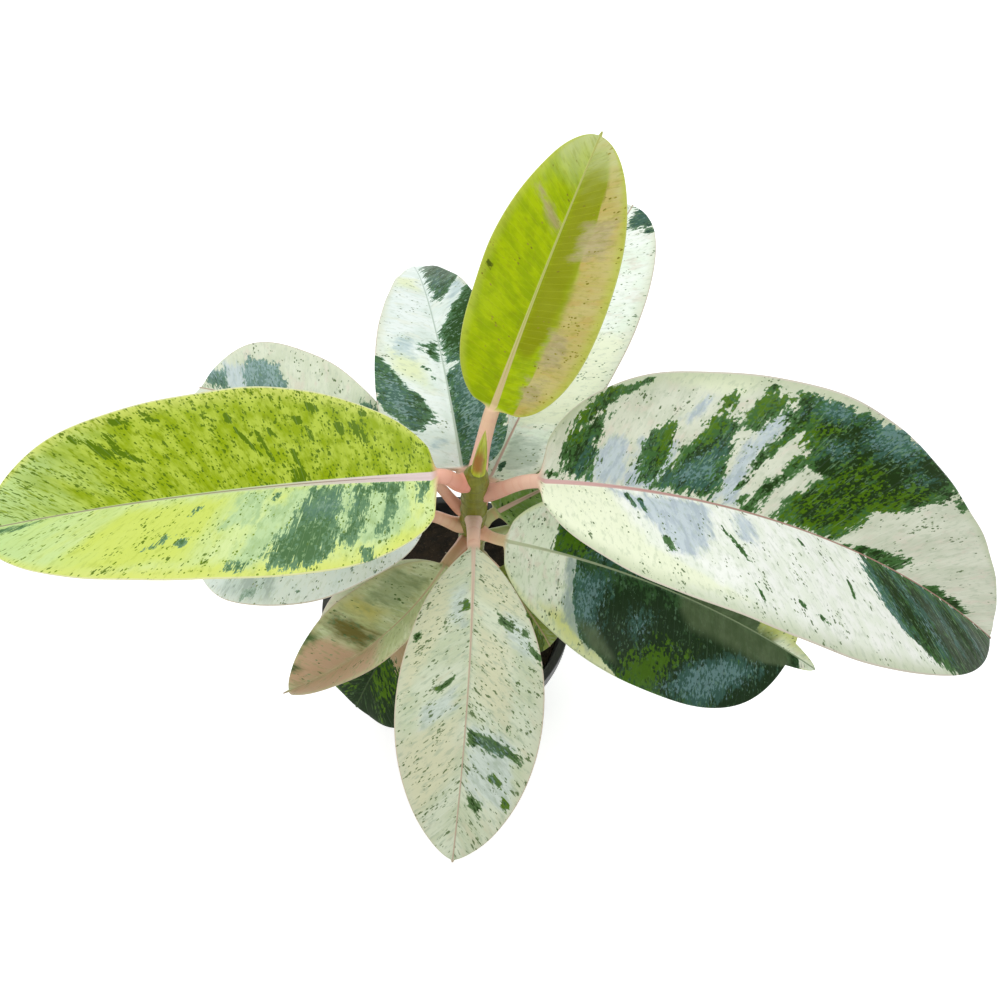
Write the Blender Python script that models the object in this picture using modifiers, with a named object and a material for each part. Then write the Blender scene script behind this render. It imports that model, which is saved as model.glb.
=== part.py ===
"""Potted ficus: a young variegated rubber fig in a plain nursery pot.

Metres, +Z up. The origin is the centre of the pot's flat bottom, and -Y is the plant's front.
"""
import math

import bmesh
import bpy
from mathutils import Matrix, Vector

COLLECTION = "potted_ficus"
CUTTERS = "cutters"

# Pot
POT_HEIGHT = 0.080
POT_RIM_RADIUS = 0.0525
POT_FOOT_RADIUS = 0.0370
POT_WALL = 0.0016
POT_FLOOR = 0.0020
RIM_BAND = 0.0110
RIM_STEP = 0.0018
RIM_DRAFT = 0.0006
FOOT_CHAMFER = 0.0015
POT_SIDES = 40
DRAIN_SLOTS = 8
SLOT_SIZE = (0.0100, 0.0080, 0.0100)

# Soil
SOIL_TOP = 0.0700
SOIL_MOUND = 0.0025
MOUND_RINGS = (0.0, 0.4, 0.75)
FIT_GAP = 0.0003

# Plant frame: it stands in the soil, a little off the pot's centre, and leans slightly
PLANT_FOOT = Vector((0.008, 0.000, SOIL_TOP))
PLANT_LEAN = (math.radians(-1.5), math.radians(2.8), 0.0)

# Stem, with heights above the soil
STEM_RADIUS = 0.0048
STEM_HEIGHT = 0.1205
STEM_TOP_RADIUS = 0.0029
SHOULDER = 0.0030
STEM_DEPTH = 0.0350
STEM_TAPER = 0.0006
STEM_SIDES = 16
SCAR_SWELL = 0.0004
SCAR_WIDTH = 0.0012
OLD_SCARS = (0.014, 0.027, 0.038, 0.048)
SCAR_SPACING = 0.0035

# Bud sheath on top of the stem
SHEATH_LENGTH = 0.0270
SHEATH_RADIUS = 0.0026
SHEATH_TAPER = 0.85
SHEATH_BELLY = 0.16
SHEATH_OFFSET = 0.0008
SHEATH_SIDES = 14
SHEATH_RINGS = 7
SHEATH_LEAN = (0.0, math.radians(3.0), 0.0)

# Leaf stalks and blades
STALK_FLARE = 0.35
FLARE_FADE = 4
NODE_RISE = 25.0
BLADE_THICKNESS = 0.0008
STALK_RINGS = 5
BLADE_STATIONS = (0.01, 0.03, 0.07, 0.13, 0.21, 0.31, 0.42, 0.54, 0.66, 0.78, 0.88, 0.95, 1.0)
HALF_COLUMNS = (0.10, 0.55, 1.0)
BLEND_END = 0.018
SMALLEST_HALF_WIDTH = 0.0006
MARCH = 0.0005

# Drip tip: its taper, and where along the blade it comes in
DRIP_TAPER = 0.6
DRIP_START = 0.6
DRIP_RAMP = 0.3

# Waved edges: beats along a blade, and how far the right edge runs ahead of the left
WAVE_BEATS = 2.0
WAVE_SHIFT = 0.35

LEAF_DEFAULTS = dict(
    thick=0.0023, turn=0, sweep=0, roll=0, fold_left=10, fold_right=10, fold_more=0, curl=10,
    base_fullness=0.5, base_skew=0.0, tip_fullness=0.5, tip_skew=0.0, drip=0.015,
    drip_breadth=2.2, wave=0.0010, wave_phase=0.0)

# Each leaf: node height, stalk and blade length, and half widths in metres, angles in degrees.
# heading is the way the blade leaves the stem, lift and droop its slope at base and tip.
LEAVES = {
    "leaf_01": dict(
        node=0.1155, heading=185.5, turn=-15, sweep=3.6, stalk=0.0115, rise=98, lift=3,
        droop=-12, blade=0.172, left=0.0395, right=0.0375, fold_left=8, fold_right=8,
        fold_more=25, base_fullness=0.4, base_skew=0.06, tip_fullness=0.45, tip_skew=0.05,
        drip=0.2, drip_breadth=2.8, thick=0.0027, wave=0.0012, wave_phase=0.3),
    "leaf_02": dict(
        node=0.1135, heading=62.5, turn=-18, sweep=-3, stalk=0.0235, rise=75, lift=53, droop=46,
        blade=0.102, left=0.0215, right=0.0262, fold_left=12, fold_right=12,
        base_fullness=0.4, tip_fullness=0.51, drip=0.03, thick=0.0026),
    "leaf_03": dict(
        node=0.107, heading=-5, sweep=-12.5, stalk=0.02, rise=70, lift=8, droop=-40,
        blade=0.192, left=0.056, right=0.047, fold_left=15, fold_right=15, base_fullness=0.51,
        base_skew=0.05, tip_fullness=0.51, tip_skew=0.04, drip=0.01, thick=0.0026, wave=0.002,
        wave_phase=0.1),
    "leaf_04": dict(
        node=0.094, heading=270, sweep=-6, stalk=0.013, rise=20, lift=5, droop=-30, blade=0.112,
        left=0.0265, right=0.0245, fold_left=5, fold_right=5, curl=15, base_fullness=0.78,
        tip_fullness=0.68, drip=0.015, wave=0.0014, wave_phase=0.55),
    "leaf_05": dict(
        node=0.082, heading=-10, turn=35, sweep=-13, stalk=0.009, rise=13, lift=-2, droop=-27,
        blade=0.132, left=0.036, right=0.038, roll=15, fold_left=0, fold_right=0, curl=15,
        tip_fullness=0.34, drip=0.18, drip_breadth=3, thick=0.0021, wave=0.0016,
        wave_phase=0.7),
    "leaf_06": dict(
        node=0.102, heading=100, turn=-20, stalk=0.006, rise=30, lift=14, droop=-46, blade=0.136,
        left=0.0272, right=0.0226, fold_right=13, base_fullness=0.29, base_skew=0.03,
        tip_fullness=0.83, tip_skew=-0.12, wave_phase=0.4),
    "leaf_07": dict(
        node=0.088, heading=66, stalk=0.01, rise=40, lift=13, droop=-12, blade=0.15, left=0.03,
        right=0.0265, base_fullness=0.42, wave_phase=0.15),
    "leaf_08": dict(
        node=0.089, heading=151, stalk=0.018, rise=80, lift=6, droop=-28, blade=0.108,
        left=0.03, right=0.028, base_fullness=0.9, tip_fullness=0.34, thick=0.002),
    "leaf_09": dict(
        node=0.082, heading=184, sweep=3, stalk=0.015, rise=72, lift=0, droop=-25, blade=0.089,
        left=0.03, right=0.03, fold_left=5, fold_right=5, tip_fullness=0.42, wave_phase=0.8),
    "leaf_10": dict(
        node=0.0765, heading=240, sweep=-44, stalk=0.015, rise=35, lift=-8, droop=-16,
        blade=0.077, left=0.02, right=0.021, fold_left=55, base_fullness=0.55,
        tip_fullness=0.55, drip=0.06, thick=0.0021, wave_phase=0.6),
    "leaf_11": dict(
        node=0.067, heading=229, stalk=0.01, rise=20, lift=-25, droop=-60, blade=0.071,
        left=0.027, right=0.032, fold_left=5, fold_right=5, curl=15, base_fullness=0.6,
        tip_fullness=0.33),
    "leaf_12": dict(
        node=0.08, heading=32, stalk=0.005, rise=20, lift=0, droop=-25, blade=0.097, left=0.024,
        right=0.024, fold_left=5, fold_right=5, base_fullness=0.4),
    "leaf_13": dict(
        node=0.072, heading=6, stalk=0.018, rise=25, lift=-5, droop=-30, blade=0.084,
        left=0.016, right=0.016, fold_left=5, fold_right=5, thick=0.0018),
    "leaf_14": dict(
        node=0.062, heading=-46, stalk=0.008, rise=0, lift=-10, droop=-50, blade=0.038,
        left=0.018, right=0.018, fold_left=5, fold_right=5),
}

# Colour, roughness and metallic value of each sub-part
POT_LOOK = ((0.020, 0.021, 0.022), 0.55, 0.0)
SOIL_LOOK = ((0.035, 0.022, 0.014), 0.95, 0.0)
STEM_LOOK = ((0.190, 0.210, 0.030), 0.45, 0.0)
SHEATH_LOOK = ((0.330, 0.390, 0.030), 0.40, 0.0)
CREAM_LEAF = ((0.620, 0.680, 0.440), 0.38, 0.0)
LIME_LEAF = ((0.420, 0.560, 0.060), 0.38, 0.0)
GREEN_LEAF = ((0.050, 0.130, 0.060), 0.38, 0.0)
LEAF_LOOKS = {"leaf_01": LIME_LEAF, "leaf_02": LIME_LEAF, "leaf_05": GREEN_LEAF,
              "leaf_12": GREEN_LEAF, "leaf_14": GREEN_LEAF}


def clear_scene():
    """Remove the objects that the file starts with."""
    for thing in list(bpy.data.objects):
        bpy.data.objects.remove(thing, do_unlink=True)


def new_collection(name):
    """A collection under the scene's own."""
    collection = bpy.data.collections.new(name)
    bpy.context.scene.collection.children.link(collection)
    return collection


def new_material(name, look):
    """One Principled material from a colour, a roughness and a metallic value."""
    colour, roughness, metallic = look
    material = bpy.data.materials.new(name)
    material.use_nodes = True
    shader = material.node_tree.nodes["Principled BSDF"]
    shader.inputs["Base Color"].default_value = (*colour, 1.0)
    shader.inputs["Roughness"].default_value = roughness
    shader.inputs["Metallic"].default_value = metallic
    return material


def add_object(name, mesh, collection, look=None):
    """Link a mesh as a named object with its own material."""
    thing = bpy.data.objects.new(name, mesh)
    collection.objects.link(thing)
    if look:
        mesh.materials.append(new_material(name, look))
    return thing


def profile_mesh(name, points):
    """An open polyline in the XZ plane, for a Screw modifier."""
    mesh = bpy.data.meshes.new(name)
    edges = [(i, i + 1) for i in range(len(points) - 1)]
    mesh.from_pydata([(x, 0.0, z) for x, z in points], edges, [])
    return mesh


def turn_profile(thing, sides):
    """Turn a profile about Z into a closed solid."""
    screw = thing.modifiers.new("turn", "SCREW")
    screw.axis = "Z"
    screw.steps = sides
    screw.render_steps = sides
    screw.use_merge_vertices = True
    screw.merge_threshold = 0.00001
    screw.use_smooth_shade = True


def cut_with(thing, cutter):
    """Cut one object with another."""
    cut = thing.modifiers.new("cut", "BOOLEAN")
    cut.operation = "DIFFERENCE"
    cut.object = cutter


def make_cutter(name, mesh, collection):
    """An object that only cuts others."""
    cutter = add_object(name, mesh, collection)
    cutter.hide_render = True
    cutter.display_type = "WIRE"
    return cutter


def wall_radius(height):
    """The pot's outer radius below its rim band."""
    top = POT_RIM_RADIUS - RIM_STEP
    return POT_FOOT_RADIUS + (top - POT_FOOT_RADIUS) * height / POT_HEIGHT


def make_pot(collection, cutters):
    """A tapered pot with a rim band and drain slots round its foot."""
    inner_top = wall_radius(POT_HEIGHT) - POT_WALL
    inner_foot = wall_radius(POT_FLOOR) - POT_WALL
    band_foot = POT_HEIGHT - RIM_BAND
    points = [
        (0.0, POT_FLOOR),
        (inner_foot, POT_FLOOR),
        (inner_top, POT_HEIGHT),
        (POT_RIM_RADIUS, POT_HEIGHT),
        (POT_RIM_RADIUS - RIM_DRAFT, band_foot),
        (wall_radius(band_foot), band_foot),
        (wall_radius(FOOT_CHAMFER), FOOT_CHAMFER),
        (POT_FOOT_RADIUS - FOOT_CHAMFER, 0.0),
        (0.0, 0.0),
    ]
    pot = add_object("pot", profile_mesh("pot", points), collection, POT_LOOK)
    turn_profile(pot, POT_SIDES)
    cut_with(pot, make_drain_cutter(cutters))
    return pot


def make_drain_cutter(collection):
    """Blocks at the corner of wall and floor, half a pitch off the pot's seam."""
    shape = bmesh.new()
    across, width, height = SLOT_SIZE
    for index in range(DRAIN_SLOTS):
        place = (Matrix.Rotation(math.tau * (index + 0.5) / DRAIN_SLOTS, 4, "Z")
                 @ Matrix.Translation((POT_FOOT_RADIUS, 0.0, 0.0))
                 @ Matrix.Diagonal((across, width, height, 1.0)))
        bmesh.ops.create_cube(shape, size=1.0, matrix=place)
    mesh = bpy.data.meshes.new("drain_slots")
    shape.to_mesh(mesh)
    shape.free()
    return make_cutter("drain_slots", mesh, collection)


def make_soil(collection, plant, cutters):
    """Potting mix that fills the pot, with a plain hole for the stem."""
    foot = wall_radius(POT_FLOOR) - POT_WALL - FIT_GAP
    rim = wall_radius(SOIL_TOP) - POT_WALL - FIT_GAP
    mound = [(rim * k, SOIL_TOP + SOIL_MOUND * (1.0 - k * k)) for k in MOUND_RINGS]
    bottom = POT_FLOOR + FIT_GAP
    points = mound + [(rim, SOIL_TOP), (foot, bottom), (0.0, bottom)]
    soil = add_object("soil", profile_mesh("soil", points), collection, SOIL_LOOK)
    turn_profile(soil, POT_SIDES)
    cut_with(soil, make_hole_cutter(plant, cutters))
    return soil


def make_hole_cutter(plant, collection):
    """The stem's hole: a cylinder along the plant's own axis, clear of the stem all round."""
    shape = bmesh.new()
    radius = stem_radius(0.0) + SCAR_SWELL + FIT_GAP
    depth = STEM_DEPTH + FIT_GAP
    bmesh.ops.create_cone(shape, cap_ends=True, segments=STEM_SIDES, radius1=radius,
                          radius2=radius, depth=2.0 * depth)
    mesh = bpy.data.meshes.new("stem_hole")
    shape.to_mesh(mesh)
    shape.free()
    cutter = make_cutter("stem_hole", mesh, collection)
    cutter.parent = plant
    return cutter


def stem_radius(height):
    """The stem tapers a little from the soil to its top."""
    return STEM_RADIUS + STEM_TAPER * (0.5 - height / STEM_HEIGHT)


def scar_heights():
    """Ring scars: old ones low on the stem, then one at each node that has room for it."""
    heights = list(OLD_SCARS)
    for leaf in sorted(LEAVES.values(), key=lambda values: values["node"]):
        if leaf["node"] - heights[-1] >= SCAR_SPACING:
            heights.append(leaf["node"])
    return heights


def make_stem(collection, plant):
    """A turned stem with a ring scar at each node."""
    shoulder = STEM_HEIGHT - SHOULDER
    points = [
        (0.0, STEM_HEIGHT),
        (STEM_TOP_RADIUS, STEM_HEIGHT),
        (stem_radius(shoulder), shoulder),
    ]
    for height in reversed(scar_heights()):
        radius = stem_radius(height)
        points.append((radius, height + SCAR_WIDTH))
        points.append((radius + SCAR_SWELL, height))
        points.append((radius, height - SCAR_WIDTH))
    points.append((stem_radius(0.0), -STEM_DEPTH))
    points.append((0.0, -STEM_DEPTH))
    stem = add_object("stem", profile_mesh("stem", points), collection, STEM_LOOK)
    turn_profile(stem, STEM_SIDES)
    stem.parent = plant
    return stem


def make_bud_sheath(collection, plant):
    """A slender cone round the next leaf, standing on the stem's top."""
    points = [(0.0, SHEATH_LENGTH)]
    for ring in range(1, SHEATH_RINGS + 1):
        along = ring / SHEATH_RINGS
        belly = math.sin(math.pi * along) * SHEATH_BELLY
        radius = SHEATH_RADIUS * (along ** SHEATH_TAPER + belly)
        points.append((radius, SHEATH_LENGTH * (1.0 - along)))
    points.append((0.0, 0.0))
    sheath = add_object("bud_sheath", profile_mesh("bud_sheath", points), collection, SHEATH_LOOK)
    turn_profile(sheath, SHEATH_SIDES)
    sheath.parent = plant
    sheath.location = (SHEATH_OFFSET, 0.0, STEM_HEIGHT + FIT_GAP)
    sheath.rotation_euler = SHEATH_LEAN
    return sheath


def smooth(k):
    """Ease from 0 to 1."""
    k = min(max(k, 0.0), 1.0)
    return k * k * (3.0 - 2.0 * k)


def leaf_direction(leaf, distance):
    """Heading and slope, in degrees, at a distance from the node."""
    if distance < leaf["stalk"]:
        k = distance / leaf["stalk"]
        heading = leaf["heading"] + leaf["turn"] * (k - 1.0)
        arch = 2.0 * leaf["rise"] * k * (1.0 - k)
        slope = NODE_RISE * (1.0 - k) ** 2 + arch + leaf["lift"] * k * k
        return heading, slope
    t = (distance - leaf["stalk"]) / leaf["blade"]
    return leaf["heading"] + leaf["sweep"] * t, leaf["lift"] + (leaf["droop"] - leaf["lift"]) * t


def direction_vector(heading, slope):
    """The unit vector of a heading and a slope in degrees."""
    turn, rise = math.radians(heading), math.radians(slope)
    reach = math.cos(rise)
    return Vector((reach * math.cos(turn), reach * math.sin(turn), math.sin(rise)))


def seat_radius(leaf):
    """How far from the stem's axis a stalk ends: clear of the scar ring."""
    return stem_radius(leaf["node"]) + SCAR_SWELL + FIT_GAP


def trace_midrib(leaf, distances):
    """Walk out along the leaf and give the point and frame at each distance."""
    heading, _ = leaf_direction(leaf, 0.0)
    outward = direction_vector(heading, 0.0)
    point = outward * seat_radius(leaf) + Vector((0.0, 0.0, leaf["node"]))
    travelled = 0.0
    frames = []
    for distance in distances:
        steps = max(1, math.ceil((distance - travelled) / MARCH))
        step = (distance - travelled) / steps
        for _ in range(steps):
            heading, slope = leaf_direction(leaf, travelled + step / 2.0)
            point = point + direction_vector(heading, slope) * step
            travelled += step
        heading, slope = leaf_direction(leaf, distance)
        tangent = direction_vector(heading, slope)
        level = Vector((-math.sin(math.radians(heading)), math.cos(math.radians(heading)), 0.0))
        roll = math.radians(leaf["roll"]) * min(distance / leaf["stalk"], 1.0)
        side = level * math.cos(roll) + tangent.cross(level) * math.sin(roll)
        frames.append((point.copy(), tangent, side, tangent.cross(side)))
    return frames


def outline_width(leaf, t, side):
    """A side's half width at t, as a share of its largest; side is -1 left and 1 right."""
    body_end = 1.0 - 0.5 * leaf["drip"]
    base = leaf["base_fullness"] + side * leaf["base_skew"]
    tip = leaf["tip_fullness"] + side * leaf["tip_skew"]
    widest = body_end * base / (base + tip)
    body = (t / widest) ** base * (max(body_end - t, 0.0) / (body_end - widest)) ** tip
    ramp = min(max((t - DRIP_START) / DRIP_RAMP, 0.0), 1.0)
    drip = leaf["drip_breadth"] * leaf["drip"] * (1.0 - t) ** DRIP_TAPER * ramp
    return (body ** 3 + drip ** 3) ** (1.0 / 3.0)


def blade_point(leaf, frame, t, u):
    """A point of the blade's upper face; u runs from -1 at the left edge to 1 at the right."""
    point, _, side, up = frame
    half = leaf["left"] if u < 0 else leaf["right"]
    fold = (leaf["fold_left"] if u < 0 else leaf["fold_right"]) + leaf["fold_more"] * t
    width = outline_width(leaf, t, -1 if u < 0 else 1)
    half_here = max(half * width, SMALLEST_HALF_WIDTH)
    reach = abs(u) * half_here
    slant = math.radians(fold - leaf["curl"] * abs(u) / 2.0)
    shift = WAVE_SHIFT if u > 0 else 0.0
    beat = math.sin(math.tau * (WAVE_BEATS * t + leaf["wave_phase"] + shift))
    wave = leaf["wave"] * beat * u * u * half_here / half
    across = -math.copysign(reach * math.cos(slant), u)
    return point + side * across + up * (reach * math.sin(slant) + wave)


def leaf_section(leaf, frame, distance, columns):
    """Upper and lower points of one section, round in the stalk and thin in the blade."""
    point, _, side, up = frame
    t = min((distance - leaf["stalk"]) / leaf["blade"], 1.0)
    k = min(distance / leaf["stalk"], 1.0)
    radius = leaf["thick"] * (1.0 + STALK_FLARE * (1.0 - k) ** FLARE_FADE)
    round_share = 1.0 - smooth(t / BLEND_END)
    upper, lower = [], []
    for index, u in enumerate(columns):
        angle = math.pi * (1.0 - (index + 0.5) / len(columns))
        across, rise = -math.cos(angle) * radius, math.sin(angle) * radius
        round_upper = point + side * across + up * rise
        round_lower = point + side * across - up * rise
        if round_share == 1.0:
            upper.append(round_upper)
            lower.append(round_lower)
            continue
        face = blade_point(leaf, frame, t, u)
        rib = leaf["thick"] * (1.0 - t) * max(1.0 - abs(u) / HALF_COLUMNS[0], 0.0)
        back = face - up * (BLADE_THICKNESS + rib)
        upper.append(face.lerp(round_upper, round_share))
        lower.append(back.lerp(round_lower, round_share))
    return upper, lower


def seat_on_stem(points, leaf, tangent):
    """Slide a stalk's first section along the stalk until it follows the stem's round side."""
    seated = []
    for point in points:
        a = tangent.xy.dot(tangent.xy)
        b = point.xy.dot(tangent.xy)
        c = point.xy.dot(point.xy) - seat_radius(leaf) ** 2
        seated.append(point + tangent * ((math.sqrt(b * b - a * c) - b) / a))
    return seated


def leaf_mesh(name, leaf):
    """A closed skin from the stalk's seat to the drip tip, its two faces split alike."""
    columns = [-u for u in reversed(HALF_COLUMNS)] + [0.0] + list(HALF_COLUMNS)
    stalk, blade = leaf["stalk"], leaf["blade"]
    distances = [stalk * ring / STALK_RINGS for ring in range(STALK_RINGS + 1)]
    distances += [stalk + blade * t for t in BLADE_STATIONS]
    frames = trace_midrib(leaf, distances)
    sections = [leaf_section(leaf, frame, distance, columns)
                for frame, distance in zip(frames, distances)]
    sections[0] = tuple(seat_on_stem(points, leaf, frames[0][1]) for points in sections[0])
    shape = bmesh.new()
    upper = [[shape.verts.new(point) for point in section[0]] for section in sections]
    lower = [[shape.verts.new(point) for point in section[1]] for section in sections]
    last = len(columns) - 1
    for i in range(len(sections) - 1):
        for j in range(last):
            for corners in split_cell(i, j, columns[j] < 0):
                shape.faces.new([upper[row][column] for row, column in corners])
                shape.faces.new([lower[row][column] for row, column in reversed(corners)])
        shape.faces.new((upper[i][0], upper[i + 1][0], lower[i + 1][0]))
        shape.faces.new((upper[i][0], lower[i + 1][0], lower[i][0]))
        shape.faces.new((upper[i][last], lower[i + 1][last], upper[i + 1][last]))
        shape.faces.new((upper[i][last], lower[i][last], lower[i + 1][last]))
    for j in range(last):
        shape.faces.new((upper[0][j], lower[0][j], lower[0][j + 1], upper[0][j + 1]))
        shape.faces.new((upper[-1][j], upper[-1][j + 1], lower[-1][j + 1], lower[-1][j]))
    mesh = bpy.data.meshes.new(name)
    shape.to_mesh(mesh)
    shape.free()
    mesh.shade_smooth()
    return mesh


def split_cell(i, j, left_side):
    """Two triangles of one cell, its diagonal mirrored across the midrib."""
    if left_side:
        return (((i, j), (i, j + 1), (i + 1, j)), ((i, j + 1), (i + 1, j + 1), (i + 1, j)))
    return (((i, j), (i, j + 1), (i + 1, j + 1)), ((i, j), (i + 1, j + 1), (i + 1, j)))


def make_leaves(collection, plant):
    """Every leaf as one object, a stalk and a blade grown together."""
    for name, values in LEAVES.items():
        mesh = leaf_mesh(name, {**LEAF_DEFAULTS, **values})
        leaf = add_object(name, mesh, collection, LEAF_LOOKS.get(name, CREAM_LEAF))
        leaf.parent = plant


def make_plant_frame(collection):
    """The empty that the plant's pieces are parented to."""
    plant = bpy.data.objects.new("plant", None)
    collection.objects.link(plant)
    plant.location = PLANT_FOOT
    plant.rotation_euler = PLANT_LEAN
    return plant


def main():
    """Build the pot, the soil and the plant."""
    clear_scene()
    collection = new_collection(COLLECTION)
    cutters = new_collection(CUTTERS)
    plant = make_plant_frame(collection)
    make_pot(collection, cutters)
    make_soil(collection, plant, cutters)
    make_stem(collection, plant)
    make_bud_sheath(collection, plant)
    make_leaves(collection, plant)


main()
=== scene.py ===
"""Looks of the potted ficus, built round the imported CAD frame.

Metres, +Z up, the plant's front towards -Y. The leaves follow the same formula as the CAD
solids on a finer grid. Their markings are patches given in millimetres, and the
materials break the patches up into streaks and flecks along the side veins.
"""

import math

import bmesh
import bpy
import numpy as np
from mathutils import Euler, Matrix, Vector

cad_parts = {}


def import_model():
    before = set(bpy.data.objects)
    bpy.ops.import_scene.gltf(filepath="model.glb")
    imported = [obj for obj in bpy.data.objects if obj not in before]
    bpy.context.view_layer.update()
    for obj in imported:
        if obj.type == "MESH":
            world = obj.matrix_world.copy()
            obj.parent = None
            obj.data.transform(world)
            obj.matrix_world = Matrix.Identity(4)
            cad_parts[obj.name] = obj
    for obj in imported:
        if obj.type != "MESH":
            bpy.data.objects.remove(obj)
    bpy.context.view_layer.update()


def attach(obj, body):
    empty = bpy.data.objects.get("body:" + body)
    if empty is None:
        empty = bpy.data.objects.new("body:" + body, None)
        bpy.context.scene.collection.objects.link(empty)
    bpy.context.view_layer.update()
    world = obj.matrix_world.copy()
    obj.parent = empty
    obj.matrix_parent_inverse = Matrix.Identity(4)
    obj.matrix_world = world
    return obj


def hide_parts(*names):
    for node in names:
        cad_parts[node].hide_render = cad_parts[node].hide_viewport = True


MM = 1000.0

# Camera and light
CAMERA_PLACE = Vector((0.0223, -0.2347, 0.6165))
CAMERA_TARGET = Vector((0.0223, 0.0, 0.175))
CAMERA_LENS = 50.0
CAMERA_SENSOR = 36.0
FLOOR_HALF = 2.5
FLOOR_DROP = 0.0003
FLOOR_GLOW = 0.50
SKY_STRENGTH = 0.42
# Each area light: name, place, width, height, power and colour
LIGHTS = (
    ("window", (0.10, 0.75, 1.25), 1.20, 0.80, 9.8, (0.90, 0.95, 1.0)),
    ("soft_left", (-0.95, -0.35, 1.05), 0.90, 0.90, 4.7, (1.0, 0.98, 0.95)),
    ("soft_front", (0.45, -0.95, 1.15), 0.80, 0.80, 3.5, (1.0, 0.98, 0.95)),
)
LIGHT_TARGET = Vector((0.0, 0.0, 0.12))

# Pot, as in the CAD
POT_HEIGHT = 0.080
POT_RIM_RADIUS = 0.0525
POT_FOOT_RADIUS = 0.0370
POT_WALL = 0.0016
POT_FLOOR = 0.0020
RIM_BAND = 0.0110
RIM_STEP = 0.0018
RIM_DRAFT = 0.0006
RIM_ROUND = 0.0005
POT_SIDES = 160
POT_OUTER_ROWS = 24
POT_INNER_ROWS = 12
DRAIN_SLOTS = 8
SLOT_SIZE = (0.0100, 0.0080, 0.0100)

# Soil, as in the CAD
SOIL_TOP = 0.0700
SOIL_MOUND = 0.0025
FIT_GAP = 0.0003
SOIL_RINGS = 72
SOIL_SIDES = 220
SOIL_WALL_ROWS = (0.25, 0.5, 0.75, 0.97)
SOIL_FADE = 0.04
SOIL_SEED = 7
# Each layer of crumbs: its size and its rise, in millimetres
CRUMBS = ((6.0, 0.45), (3.0, 0.32), (1.6, 0.25), (0.9, 0.16))
CRUMB_WAVES = 5
CRUMB_PITCH = 2.2
CRUMB_BEND = 1.3
CRUMB_LIMITS = (-1.0, 1.1)
# Radius of the tiny opening that a turned solid's caps close at its axis
AXIS_RADIUS = 0.0004
AXIS_SHARE = 0.004

# Plant frame, as in the CAD
PLANT_FOOT = Vector((0.008, 0.000, SOIL_TOP))
PLANT_LEAN = (math.radians(-1.5), math.radians(2.8), 0.0)

# Stem, as in the CAD
STEM_RADIUS = 0.0048
STEM_HEIGHT = 0.1205
STEM_TOP_RADIUS = 0.0029
SHOULDER = 0.0030
STEM_TAPER = 0.0006
SCAR_SWELL = 0.0004
SCAR_WIDTH = 0.0012
OLD_SCARS = (0.014, 0.027, 0.038, 0.048)
SCAR_SPACING = 0.0035
SCAR_RIPPLE = 0.15
SCAR_PHASE = 900.0
RING_TINT_WIDTH = 0.8
STEM_ROOT = 0.006
STEM_ROWS = 420
SHOULDER_ROWS = 12
STEM_COLUMNS = 64
PORES = 90
PORE_TOP = 0.105
PORE_HALF_HEIGHT = 0.0007
PORE_HALF_WIDTH = 0.0004
PORE_RISE = 0.00012
STEM_SEED = 11

# Bud sheath, as in the CAD
SHEATH_LENGTH = 0.0270
SHEATH_RADIUS = 0.0026
SHEATH_TAPER = 0.85
SHEATH_BELLY = 0.16
SHEATH_OFFSET = 0.0008
SHEATH_LEAN = (0.0, math.radians(3.0), 0.0)
SHEATH_ROWS = 90
SHEATH_COLUMNS = 56
SEAM_START = 2.2
SEAM_WINDING = 2.4
LAP_RISE = 0.00014
LAP_REACH = 0.5
SEAM_DEPTH = 0.8
SEAM_WIDTH = 0.10
SEAM_TINT_WIDTH = 0.14
SHEATH_RIPPLE = 0.00003
SHEATH_RIPPLES = 7.0
SHEATH_RIPPLE_TWIST = 5.0
FLUSH_SIDE = 1.9

# Leaf formula, as in the CAD
STALK_FLARE = 0.35
FLARE_FADE = 4
NODE_RISE = 25.0
BLEND_END = 0.018
SMALLEST_HALF_WIDTH = 0.0006
MARCH = 0.00025
DRIP_TAPER = 0.6
DRIP_START = 0.6
DRIP_RAMP = 0.3
WAVE_BEATS = 2.0
WAVE_SHIFT = 0.35

# Leaf detail that only the scene has
STALK_ROOT = 0.0020
STALK_RINGS = 16
BLADE_MIDDLE = 0.00062
BLADE_EDGE = 0.00036
RIM_BULGE = 0.00010
ROW_EASE = 1.45
TIP_ROWS = 10
TIP_POINT = 0.75
RIB_COLUMNS = 5
RIB_HALF = 0.00135
RIB_TAPER = 0.72
RIB_RISE = 0.00028
RIB_BANK = 1.8
RIB_FADE = 0.6
KEEL_REACH = 1.6
EDGE_THINNING = 5
COLUMN_EVEN = 0.6
VEIN_SPACING = 5.2
VEIN_WIDTH = 0.6
VEIN_DEPTH = 0.00011
VEIN_START = (2.0, 4.0)
VEIN_END = (0.82, 0.14)
VEIN_STEPS = 12
PUCKER = 0.00030
PUCKER_START = 8.0
SEED_SHIFT = 40.0

# Rows and columns to a side of each leaf's grid
COARSE_GRID = (150, 24)
LEAF_GRIDS = {"leaf_01": (190, 32), "leaf_02": (170, 26), "leaf_03": (230, 36),
              "leaf_04": (170, 28), "leaf_05": (170, 30), "leaf_14": (80, 18)}

LEAF_DEFAULTS = dict(
    thick=0.0023, turn=0, sweep=0, roll=0, fold_left=10, fold_right=10, fold_more=0, curl=10,
    base_fullness=0.5, base_skew=0.0, tip_fullness=0.5, tip_skew=0.0, drip=0.015,
    drip_breadth=2.2, wave=0.0010, wave_phase=0.0)

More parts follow.
